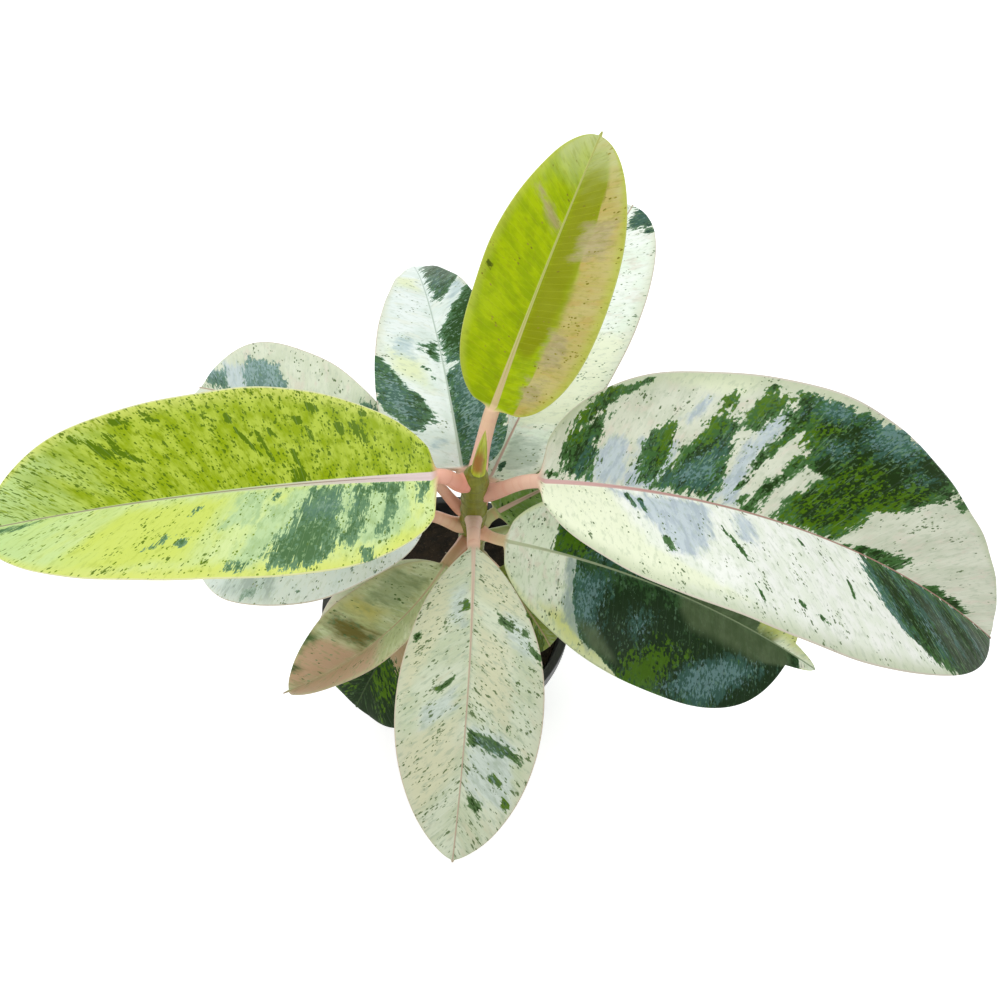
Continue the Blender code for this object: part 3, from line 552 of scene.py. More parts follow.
LEAF_PAINTS = {
    "leaf_01": dict(
        ground=(206, 226, 140), ground_light=(216, 234, 158), blush=(220, 232, 128),
        streak=(232, 242, 182), margin=(222, 230, 120), edge=(238, 236, 190),
        warm=(212, 226, 98), lime=(184, 204, 70), lime_deep=(148, 172, 4),
        grey=(190, 218, 164), grey_deep=(160, 192, 138), deep=(74, 112, 62),
        mid=(96, 134, 94), thin=(150, 184, 130), teal=(92, 130, 110), blue=(134, 164, 144),
        bright=(92, 122, 0),
        fleck=(84, 114, 0), fleck_light=(116, 146, 0), line=(216, 232, 190),
        rib=(196, 212, 158), rib_base=(226, 206, 204), rib_core=(132, 96, 84),
        stalk=(232, 160, 138),
        stalk_end=(240, 182, 160), under=(220, 222, 200), tip=(198, 226, 150), tip_from=0.64,
        ghost=(132, 156, 0), ghosts=0.22, lime_ghosts=0.60, fine_flecks=1.6, coarse_flecks=0.9,
        lime_flecks=0.20, raggedness=9.0, fingers=9.0, cracks=9.0, threads=0.6,
        bright_share=1.0, green_lines=0.14, line_pitch=2.3, rib_width=1.8, lime_softness=2.0,
        seed=1.0),
    "leaf_02": dict(
        ground=(198, 184, 104), ground_light=(206, 194, 124), blush=(202, 170, 92),
        streak=(214, 204, 140), margin=(190, 202, 76), edge=(206, 214, 110),
        warm=(140, 146, 0), lime=(176, 200, 0), lime_deep=(152, 178, 0), grey=(190, 178, 134),
        grey_deep=(172, 158, 108), deep=(84, 100, 0), mid=(112, 130, 0), thin=(140, 154, 20),
        fleck=(130, 124, 30), fleck_light=(156, 146, 50), line=(210, 222, 70),
        rib=(204, 212, 126), rib_base=(222, 200, 150), rib_core=(180, 180, 100),
        stalk=(246, 196, 178), stalk_end=(244, 206, 174), stalk_shade=(236, 178, 160),
        tip=(204, 214, 150), ghost=(142, 150, 20), ghosts=0.3, tip_from=0.76,
        raggedness=6.0, crumbling=1.0,
        fine_flecks=0.9, coarse_flecks=0.2, lime_flecks=-0.12, ground_lines=0.24, line_pitch=2.4,
        rib_width=1.35, lime_softness=1.2, seed=2.0),
    "leaf_03": dict(
        ground=(206, 212, 188), ground_light=(220, 224, 202), margin=(194, 204, 168),
        edge=(222, 210, 196), warm=(238, 244, 208), lime=(236, 242, 224),
        lime_deep=(248, 250, 240), grey=(192, 206, 212), grey_deep=(160, 176, 188),
        deep=(30, 54, 12), mid=(64, 104, 50), teal=(68, 110, 96), blue=(130, 164, 164),
        rib=(150, 142, 118), rib_base=(214, 174, 168),
        rib_core=(184, 130, 124), stalk=(212, 160, 138), ghost=(160, 178, 146),
        fine_flecks=0.8, coarse_flecks=0.5, threads=0.7, mosaic=0.75, rib_width=1.0,
        seed=3.0),
    "leaf_04": dict(
        ground=(190, 200, 168), ground_light=(206, 214, 188), blush=(202, 198, 168),
        streak=(222, 228, 212), margin=(202, 206, 178), edge=(214, 198, 178),
        warm=(208, 208, 174), grey=(200, 212, 202), grey_deep=(172, 186, 174),
        mid=(74, 104, 56), deep=(36, 62, 18), thin=(116, 142, 98), teal=(84, 110, 88),
        blue=(150, 176, 174), bright=(84, 118, 16), fleck=(84, 106, 60),
        fleck_light=(138, 154, 116), rib=(204, 194, 166), rib_base=(212, 190, 170),
        rib_core=(176, 152, 134), stalk=(232, 200, 186), ghost=(156, 172, 146), ghosts=0.5,
        raggedness=5.5, crumbling=1.8, fingers=2.0, fine_flecks=1.6, coarse_flecks=1.5,
        softness=0.2, rib_width=0.8, seed=4.0),
    "leaf_05": dict(
        ground=(232, 243, 220), ground_light=(242, 248, 232), margin=(226, 234, 176),
        edge=(196, 204, 164), warm=(216, 222, 130), grey=(156, 176, 174),
        # Its lime and lime_deep are grey-olive, the colour of the painted sheen in its lime
        # patches
        grey_deep=(128, 150, 150), lime=(98, 114, 84), lime_deep=(84, 102, 70),
        deep=(28, 51, 24), mid=(54, 88, 50), thin=(98, 132, 102), teal=(66, 106, 98),
        blue=(132, 168, 174), bright=(80, 120, 8), rib=(116, 136, 104),
        rib_base=(196, 204, 170), rib_core=(150, 164, 130), stalk=(226, 176, 150),
        stalk_end=(214, 190, 150), ghost=(176, 196, 160), ghosts=0.5, lime_over_green=0.8,
        lime_softness=2.0, raggedness=6.0, crumbling=0.8, fingers=3.0, mosaic=0.6,
        threads=0.25, rib_width=0.7, line_pitch=3.4, seed=5.0),
    "leaf_06": dict(
        ground=(226, 238, 228), ground_light=(240, 248, 242), blush=(234, 238, 220),
        warm=(228, 236, 184), grey=(196, 214, 212), grey_deep=(164, 188, 190),
        deep=(38, 72, 20), mid=(74, 112, 70), teal=(76, 114, 104), blue=(150, 180, 178),
        thin=(150, 184, 160), rib=(206, 220, 206), rib_base=(190, 202, 184),
        rib_core=(176, 192, 176), raggedness=9.0, threads=0.4, rib_width=0.6, seed=6.0),
    "leaf_07": dict(
        ground=(236, 247, 228), ground_light=(246, 252, 242), warm=(242, 246, 214),
        grey=(208, 220, 206), grey_deep=(184, 200, 184), deep=(44, 72, 60), mid=(70, 102, 80),
        fleck=(110, 136, 100), fine_flecks=1.3, coarse_flecks=0.6, rib_width=0.6, seed=7.0),
    "leaf_08": dict(
        ground=(208, 216, 188), ground_light=(224, 230, 206), mid=(94, 128, 106),
        deep=(70, 102, 82), teal=(124, 154, 148), blue=(178, 202, 204), grey=(200, 214, 218),
        grey_deep=(172, 190, 194), raggedness=8.0, softness=0.4, seed=8.0),
    "leaf_09": dict(
        ground=(240, 250, 254), ground_light=(248, 254, 255), blush=(240, 248, 250),
        streak=(250, 254, 255), margin=(244, 250, 250), mid=(116, 144, 130),
        deep=(98, 126, 110), teal=(180, 202, 196), blue=(220, 236, 240), grey=(216, 230, 232),
        fleck=(110, 135, 120), stalk=(226, 190, 156), fine_flecks=1.0, coarse_flecks=1.0,
        seed=9.0),
    "leaf_10": dict(
        ground=(182, 192, 142), ground_light=(196, 204, 162), blush=(190, 182, 136),
        margin=(190, 188, 142), edge=(196, 172, 150), warm=(196, 156, 132),
        lime=(190, 186, 116), lime_deep=(174, 168, 98), grey=(156, 168, 128),
        grey_deep=(122, 138, 96), deep=(54, 78, 34),
        mid=(84, 106, 62), thin=(128, 132, 84), bright=(112, 104, 54), rib=(190, 176, 142),
        rib_base=(196, 180, 146), rib_core=(176, 150, 124), stalk=(190, 148, 122),
        stalk_end=(184, 156, 122), ghost=(150, 158, 112), ghosts=0.5, raggedness=9.0,
        crumbling=0.5, fingers=3.0, threads=0.1, mosaic=0.5, softness=3.2, lime_softness=3.0,
        bright_share=0.95, fine_flecks=0.4, rib_width=0.8, seed=10.0),
    "leaf_11": dict(
        ground=(176, 180, 140), ground_light=(190, 192, 154), warm=(190, 156, 124),
        deep=(26, 48, 14), mid=(44, 74, 30), thin=(86, 116, 66), rib=(70, 92, 50),
        rib_base=(120, 120, 70), rib_core=(60, 80, 40), fingers=10.0, cracks=6.0, threads=0.5,
        rib_width=0.6, seed=11.0),
    "leaf_12": dict(
        ground=(112, 146, 70), ground_light=(132, 164, 88), blush=(120, 150, 70),
        streak=(140, 168, 96), margin=(140, 166, 96), bright=(78, 116, 30), deep=(40, 74, 20),
        mid=(62, 98, 38), fleck=(48, 78, 30), fleck_light=(70, 104, 46), rib=(170, 180, 130),
        stalk=(186, 186, 136), stalk_end=(176, 184, 126), fine_flecks=0.8, coarse_flecks=0.8,
        seed=12.0),
    "leaf_13": dict(
        ground=(176, 200, 140), ground_light=(196, 214, 164), blush=(186, 200, 146),
        stalk=(190, 200, 152), stalk_end=(184, 198, 144), stalk_shade=(168, 186, 124),
        rib=(200, 204, 160), seed=13.0),
    "leaf_14": dict(
        ground=(120, 134, 60), ground_light=(140, 152, 78), blush=(126, 138, 62),
        streak=(146, 158, 88), margin=(136, 150, 80), bright=(84, 100, 30), mid=(70, 88, 34),
        rib=(160, 164, 110), stalk=(170, 160, 110), seed=14.0),
}


def smooth(k):
    """Ease from 0 to 1."""
    k = np.clip(k, 0.0, 1.0)
    return k * k * (3.0 - 2.0 * k)


def paint(colour):
    """A linear colour from screen values of 0 to 255."""
    share = [value / 255.0 for value in colour]
    linear = [s / 12.92 if s <= 0.04045 else ((s + 0.055) / 1.055) ** 2.4 for s in share]
    return (*linear, 1.0)


class Paints:
    """The node tree of one material; each call adds a node and gives its output."""

    def __init__(self, name):
        self.material = bpy.data.materials.new(name)
        self.material.use_nodes = True
        self.tree = self.material.node_tree
        self.shader = self.tree.nodes["Principled BSDF"]

    def put(self, socket, value):
        """Link another node's output to a socket, or set a number or colour on it."""
        if isinstance(value, bpy.types.NodeSocket):
            self.tree.links.new(value, socket)
        else:
            socket.default_value = value

    def add(self, kind, values, **options):
        """A node with its options, and its inputs set by index or name."""
        node = self.tree.nodes.new("ShaderNode" + kind)
        for option, value in options.items():
            setattr(node, option, value)
        for index, value in values.items():
            self.put(node.inputs[index], value)
        return node

    def attribute(self, name):
        """A mesh attribute's three channels."""
        vector = self.add("Attribute", {}, attribute_name=name).outputs["Vector"]
        return vector, self.add("SeparateXYZ", {0: vector}).outputs

    def math(self, operation, a, b=0.0):
        """One step of arithmetic."""
        return self.add("Math", {0: a, 1: b}, operation=operation).outputs[0]

    def plus(self, total, *values):
        """The sum of numbers and other nodes' outputs."""
        for value in values:
            total = self.math("ADD", total, value)
        return total

    def times(self, a, b):
        """The product of two."""
        return self.math("MULTIPLY", a, b)

    def centred(self, value, size):
        """Noise about 0.5, turned into noise about 0 of a given size."""
        return self.add("Math", {0: value, 1: size, 2: -0.5 * size},
                        operation="MULTIPLY_ADD").outputs[0]

    def ramp(self, value, low, high, top=1.0):
        """Ease from 0 at low to top at high."""
        node = self.add("MapRange", {0: value, 1: low, 2: high, 4: top},
                        interpolation_type="SMOOTHSTEP")
        return node.outputs[0]

    def mix(self, share, a, b):
        """Blend two colours."""
        return self.add("Mix", {0: share, 6: a, 7: b}, data_type="RGBA").outputs[2]

    def stretch(self, vector, scale, offset=(0.0, 0.0, 0.0)):
        """Scale a vector's axes one by one, then move it."""
        node = self.add("VectorMath", {0: vector, 1: scale, 2: offset}, operation="MULTIPLY_ADD")
        return node.outputs[0]

    def noise(self, vector, scale, detail, roughness):
        """Smooth noise about 0.5."""
        node = self.add("TexNoise", {"Vector": vector, "Scale": scale, "Detail": detail,
                                     "Roughness": roughness})
        return node.outputs["Fac"]

    def drawn_noise(self, vector, scale, offset, detail, roughness):
        """Smooth noise about 0.5 with a scale of its own along each axis."""
        return self.noise(self.stretch(vector, scale, offset), 1.0, detail, roughness)

    def cells(self, vector, warp):
        """Random cells with wavering walls: the distance to each one's middle, and two picks."""
        waver = self.add("TexNoise", {"Vector": vector, "Scale": 1.3, "Detail": 2.0})
        bent = self.add("VectorMath", {0: waver.outputs["Color"], 1: (warp, warp, 0.0), 2: vector},
                        operation="MULTIPLY_ADD").outputs[0]
        node = self.add("TexVoronoi", {"Vector": bent, "Scale": 1.0})
        picks = self.add("SeparateColor", {0: node.outputs["Color"]}).outputs
        return node.outputs["Distance"], picks[0], picks[1]

    def bump(self, height, strength, distance):
        """A bump from a height."""
        values = {"Strength": strength, "Distance": distance, "Height": height}
        return self.add("Bump", values).outputs["Normal"]

    def finish(self, colour, roughness, normal=None):
        """Set the shader's colour, roughness and normal."""
        self.put(self.shader.inputs["Base Color"], colour)
        self.put(self.shader.inputs["Roughness"], roughness)
        if normal:
            self.put(self.shader.inputs["Normal"], normal)
        return self.material


def add_piece(name, mesh, material, node):
    """Link a mesh as a piece that rides on the plant and stands for a CAD node."""
    mesh.materials.append(material)
    piece = bpy.data.objects.new(name, mesh)
    bpy.context.scene.collection.objects.link(piece)
    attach(piece, "root")
    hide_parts(node)
    return piece


def tube_mesh(name, points):
    """A closed skin over rows of points that run round, capped at both ends."""
    rows, ring = points.shape[:2]
    index = np.arange(rows * ring).reshape(rows, ring)
    ahead = np.roll(index, -1, axis=1)
    quads = np.stack([index[:-1], ahead[:-1], ahead[1:], index[1:]], axis=-1).reshape(-1, 4)
    faces = quads.tolist() + [index[0, ::-1].tolist(), index[-1].tolist()]
    mesh = bpy.data.meshes.new(name)
    mesh.from_pydata(points.reshape(-1, 3).tolist(), [], faces)
    mesh.shade_smooth()
    return mesh


def set_attribute(mesh, name, values):
    """A vector for each point of a mesh."""
    attribute = mesh.attributes.new(name, "FLOAT_VECTOR", "POINT")
    attribute.data.foreach_set("vector", np.ascontiguousarray(values, np.float32).ravel())


def round_points(radius, turn, height):
    """Points at a radius and height round the z axis, row by row."""
    return np.stack([radius * np.cos(turn), radius * np.sin(turn),
                     height[:, None] * np.ones_like(turn)], axis=-1)


def around(columns):
    """Even angles round a circle."""
    return np.arange(columns) * math.tau / columns


def turned_points(profile, sides):
    """Points of a solid turned from a profile of (radius, height), row by row."""
    radius, height = np.array(profile, float).T
    return round_points(radius[:, None], around(sides), height)


def in_plant(points):
    """Points of the plant's own frame, in the world."""
    matrix = Matrix.Translation(PLANT_FOOT) @ Euler(PLANT_LEAN).to_matrix().to_4x4()
    matrix = np.array(matrix)
    return points @ matrix[:3, :3].T + matrix[:3, 3]


def stem_radius(height):
    """The stem tapers a little from the soil to its top."""
    return STEM_RADIUS + STEM_TAPER * (0.5 - height / STEM_HEIGHT)


def scar_heights():
    """Ring scars: old ones low on the stem, then one at each node that has room for it."""
    heights = list(OLD_SCARS)
    for leaf in sorted(LEAVES.values(), key=lambda values: values["node"]):
        if leaf["node"] - heights[-1] >= SCAR_SPACING:
            heights.append(leaf["node"])
    return heights


def leaf_direction(leaf, distances):
    """Heading and slope, in degrees, at each distance from the node."""
    k = np.clip(distances / leaf["stalk"], 0.0, 1.0)
    t = np.maximum((distances - leaf["stalk"]) / leaf["blade"], 0.0)
    heading = leaf["heading"] + leaf["turn"] * (k - 1.0) + leaf["sweep"] * t
    slope = NODE_RISE * (1.0 - k) ** 2 + 2.0 * leaf["rise"] * k * (1.0 - k) + leaf["lift"] * k * k
    return heading, slope + (leaf["droop"] - leaf["lift"]) * t


def direction_vectors(heading, slope):
    """Unit vectors of headings and slopes in degrees."""
    turn, rise = np.radians(heading), np.radians(slope)
    return np.stack([np.cos(rise) * np.cos(turn), np.cos(rise) * np.sin(turn), np.sin(rise)], -1)


def trace_midrib(leaf, distances):
    """The point, tangent, side and up vectors at each distance from the node."""
    steps = np.arange(0.0, distances[-1] + MARCH, MARCH)
    moves = direction_vectors(*leaf_direction(leaf, steps[:-1] + MARCH / 2.0)) * MARCH
    seat = stem_radius(leaf["node"]) + SCAR_SWELL + FIT_GAP
    first_heading, _ = leaf_direction(leaf, np.zeros(1))
    start = direction_vectors(first_heading, np.zeros(1)) * seat + [0.0, 0.0, leaf["node"]]
    path = np.vstack([start, start + np.cumsum(moves, axis=0)])
    points = np.stack([np.interp(distances, steps, path[:, axis]) for axis in range(3)], -1)
    heading, slope = leaf_direction(leaf, distances)
    tangent = direction_vectors(heading, slope)
    points += tangent * np.minimum(distances, 0.0)[:, None]
    level = direction_vectors(heading + 90.0, np.zeros_like(heading))
    roll = math.radians(leaf["roll"]) * np.clip(distances / leaf["stalk"], 0.0, 1.0)[:, None]
    side = level * np.cos(roll) + np.cross(tangent, level) * np.sin(roll)
    return points, side, np.cross(tangent, side)


def outline_width(leaf, t, side):
    """A side's half width at each t, as a share of its largest; side is -1 left and 1 right."""
    body_end = 1.0 - 0.5 * leaf["drip"]
    base = leaf["base_fullness"] + side * leaf["base_skew"]
    tip = leaf["tip_fullness"] + side * leaf["tip_skew"]
    widest = body_end * base / (base + tip)
    body = (t / widest) ** base * (np.maximum(body_end - t, 0.0) / (body_end - widest)) ** tip
    ramp = np.clip((t - DRIP_START) / DRIP_RAMP, 0.0, 1.0)
    drip = leaf["drip_breadth"] * leaf["drip"] * (1.0 - t) ** DRIP_TAPER * ramp
    return (body ** 3 + drip ** 3) ** (1.0 / 3.0)


def leaf_rows(leaf, rows):
    """Distances from the node of every row, closer together at the blade's two ends."""
    stalk = np.linspace(-STALK_ROOT, leaf["stalk"], STALK_RINGS, endpoint=False)
    even = np.linspace(0.0, 1.0, rows)
    eased = even ** ROW_EASE / (even ** ROW_EASE + (1.0 - even) ** ROW_EASE)
    body_end = 1.0 - 0.5 * leaf["drip"]
    tip = np.linspace(body_end, 1.0, TIP_ROWS + 1)[1:]
    blade = np.concatenate([eased * body_end, tip])
    return np.concatenate([stalk, leaf["stalk"] + leaf["blade"] * blade])


def column_reach(half, t, columns):
    """How far from the midrib each column lies, from the left edge to the right one."""
    rib = np.minimum(RIB_HALF * (1.0 - RIB_TAPER * t), 0.5 * half.min(axis=1))[:, None]
    count = np.abs(np.arange(-columns, columns + 1))
    inner = rib * np.minimum(count / RIB_COLUMNS, 1.0)
    share = np.maximum(count - RIB_COLUMNS, 0) / (columns - RIB_COLUMNS)
    bunched = 0.5 - 0.5 * np.cos(math.pi * share)
    share = COLUMN_EVEN * share + (1.0 - COLUMN_EVEN) * bunched
    half_here = np.where(np.arange(-columns, columns + 1) < 0, half[:, :1], half[:, 1:])
    return inner + (half_here - rib) * share, half_here, rib


def vein_foot(leaf, lean, along, reach):
    """Where along the midrib the side vein through each point starts, in millimetres."""
    slope, gain = lean
    length = leaf["blade"] * MM
    foot = along.copy()
    for _ in range(VEIN_STEPS):
        foot = along - (slope + gain * np.clip(foot / length, 0.0, 1.0) ** 2) * reach
    return foot


def patch_depth(rows, foot, reach):
    """How far inside a patch each point is, in millimetres, and below 0 outside it."""
    across, start, end = np.array(rows, float).T
    sides = np.minimum(foot - np.interp(reach, across, start),
                       np.interp(reach, across, end) - foot)
    return np.minimum(sides, np.minimum(reach - across[0], across[-1] - reach))


def leaf_marks(name, foot, across):
    """The depth of each kind of patch at every point."""
    depths = {kind: np.full(foot.shape, MARK_LIMITS[0]) for kind in MARK_KINDS}
    for kind, half, *rows in LEAF_MARKS[name]:
        depth = patch_depth(rows, foot, np.abs(across))
        if kind == "dark":
            depth = depth * max(1.0, FIRM_DEPTH / max(depth.max(), 0.5))
        depth = np.where(across * half >= 0.0, depth, MARK_LIMITS[0])
        depths[kind] = np.maximum(depths[kind], depth)
    return [np.clip(depths[kind], *MARK_LIMITS) for kind in MARK_KINDS]


def vein_relief(foot, reach, u):
    """Shallow grooves along the side veins, fading at the midrib and the edge."""
    beat = 0.5 - np.abs(foot / VEIN_SPACING % 1.0 - 0.5)
    groove = np.exp(-(beat * VEIN_SPACING / VEIN_WIDTH) ** 2)
    rise = smooth((reach - VEIN_START[0]) / VEIN_START[1])
    fall = smooth((np.abs(u) - VEIN_END[0]) / VEIN_END[1])
    return VEIN_DEPTH * groove * rise * (1.0 - fall)


def pucker_relief(foot, across, seed):
    """Slow swells of the blade, different on each leaf."""
    swell = (np.sin(foot / 7.0 + 1.7 * seed) * np.sin(across / 6.0 + seed)
             + 0.6 * np.sin(foot / 3.7 + across / 9.0 + 2.3 * seed))
    return PUCKER * swell * smooth(np.abs(across) / PUCKER_START)


def rib_relief(reach, rib, t):
    """The midrib as a fine cord in a shallow channel."""
    cord = np.cos(math.pi * np.minimum(reach / rib, 1.0))
    bank = 1.0 - smooth((reach - rib) / (RIB_BANK * rib))
    return RIB_RISE * (1.0 - RIB_FADE * t) * np.where(reach < rib, cord, -bank)


def leaf_skin(name, leaf, columns, distances, seed):
    """The points of a leaf's closed skin and what its material needs to know at each."""
    point, side, up = (vectors[:, None, :] for vectors in trace_midrib(leaf, distances))
    t = np.clip((distances - leaf["stalk"]) / leaf["blade"], 0.0, 1.0)
    width = np.stack([outline_width(leaf, t, LEFT), outline_width(leaf, t, RIGHT)], axis=-1)
    largest = np.array([[leaf["left"], leaf["right"]]])
    body_end = 1.0 - 0.5 * leaf["drip"]
    point_share = np.clip((t - body_end) / (1.0 - body_end), 0.0, 1.0)[:, None]
    half = np.maximum(largest * width, SMALLEST_HALF_WIDTH * (1.0 - TIP_POINT * point_share))
    reach, half_here, rib = column_reach(half, t, columns)
    sign = np.sign(np.arange(-columns, columns + 1))[None, :]
    t = t[:, None]
    u = sign * reach / half_here
    fold = np.where(sign < 0, leaf["fold_left"], leaf["fold_right"]) + leaf["fold_more"] * t
    slant = np.radians(fold - leaf["curl"] * np.abs(u) / 2.0)
    shift = np.where(sign > 0, WAVE_SHIFT, 0.0)
    beat = np.sin(math.tau * (WAVE_BEATS * t + leaf["wave_phase"] + shift))
    wave = leaf["wave"] * beat * u * u * half_here
    wave = wave / np.where(sign < 0, largest[0, 0], largest[0, 1])
    along = (distances[:, None] - leaf["stalk"]) * MM * np.ones_like(u)
    across = sign * reach * MM
    foot = vein_foot(leaf, LEAF_VEINS.get(name, VEIN_LEAN), along, reach * MM)
    veins = vein_relief(foot, reach * MM, u)
    base = reach * np.sin(slant) + wave + pucker_relief(foot, across, seed)
    top = base - veins + rib_relief(reach, rib, t)
    thickness = BLADE_EDGE + (BLADE_MIDDLE - BLADE_EDGE) * (1.0 - np.abs(u) ** EDGE_THINNING)
    keel = np.sqrt(np.maximum(1.0 - (reach / (KEEL_REACH * rib)) ** 2, 0.0))
    keel = leaf["thick"] * (1.0 - t) * keel
    bottom = base - thickness - keel - veins
    spread = -sign * reach * np.cos(slant)
    upper = point + side * spread[..., None] + up * top[..., None]
    lower = point + side * spread[..., None] + up * bottom[..., None]

    ring = 2 * columns + 1
    angle = math.pi * (1.0 - (np.arange(ring) + 0.5) / ring)[None, :]
    k = np.clip(distances / leaf["stalk"], 0.0, 1.0)[:, None]
    radius = leaf["thick"] * (1.0 + STALK_FLARE * (1.0 - k) ** FLARE_FADE)
    out, rise = (-np.cos(angle) * radius)[..., None], (np.sin(angle) * radius)[..., None]
    round_share = (1.0 - smooth(t / BLEND_END))[..., None]
    upper += (point + side * out + up * rise - upper) * round_share
    lower += (point + side * out - up * rise - lower) * round_share
    rims = []
    for column, outward in ((0, 1.0), (-1, -1.0)):
        middle = (upper[:, column] + lower[:, column]) / 2.0
        bulge = RIM_BULGE + round_share[:, 0] * radius * 0.02
        rims.append((middle + side[:, 0] * outward * bulge)[:, None])
    skin = np.concatenate([upper, rims[1], lower[:, ::-1], rims[0]], axis=1)

    def all_round(values):
        """Spread a value of the upper columns over the rims and the lower face."""
        return np.concatenate([values, values[:, -1:], values[:, ::-1], values[:, :1]], axis=1)

    ones = np.ones_like(u)
    rim = 0.5 * ones[:, :1]
    under = np.concatenate([0.0 * ones, rim, ones, rim], axis=1)
    stalk_share = all_round(round_share[..., 0] * ones)
    marks = [all_round(mark) for mark in leaf_marks(name, foot, across)]
    attributes = {
        "leaf_place": (all_round(foot), all_round(across), all_round(seed * SEED_SHIFT * ones)),
        "leaf_green": marks[:3],
        "leaf_tone": marks[3:],
        "leaf_zone": (all_round(np.abs(u)), all_round(t * ones), stalk_share),
        "leaf_under": (under, all_round(reach * MM), all_round(k * ones)),
    }
    return skin, {key: np.stack(values, axis=-1) for key, values in attributes.items()}


def make_leaf(name, values):
    """One leaf, its stalk and blade grown together."""
    leaf = {**LEAF_DEFAULTS, **values}
    colours = {**LEAF_COLOURS, **LEAF_PAINTS[name]}
    rows, columns = LEAF_GRIDS.get(name, COARSE_GRID)
    distances = leaf_rows(leaf, rows)
    skin, attributes = leaf_skin(name, leaf, columns, distances, colours["seed"])
    mesh = tube_mesh(name + "_skin", in_plant(skin))
    for key, channels in attributes.items():
        set_attribute(mesh, key, channels)
    add_piece(name + "_skin", mesh, leaf_material(name, colours), name)


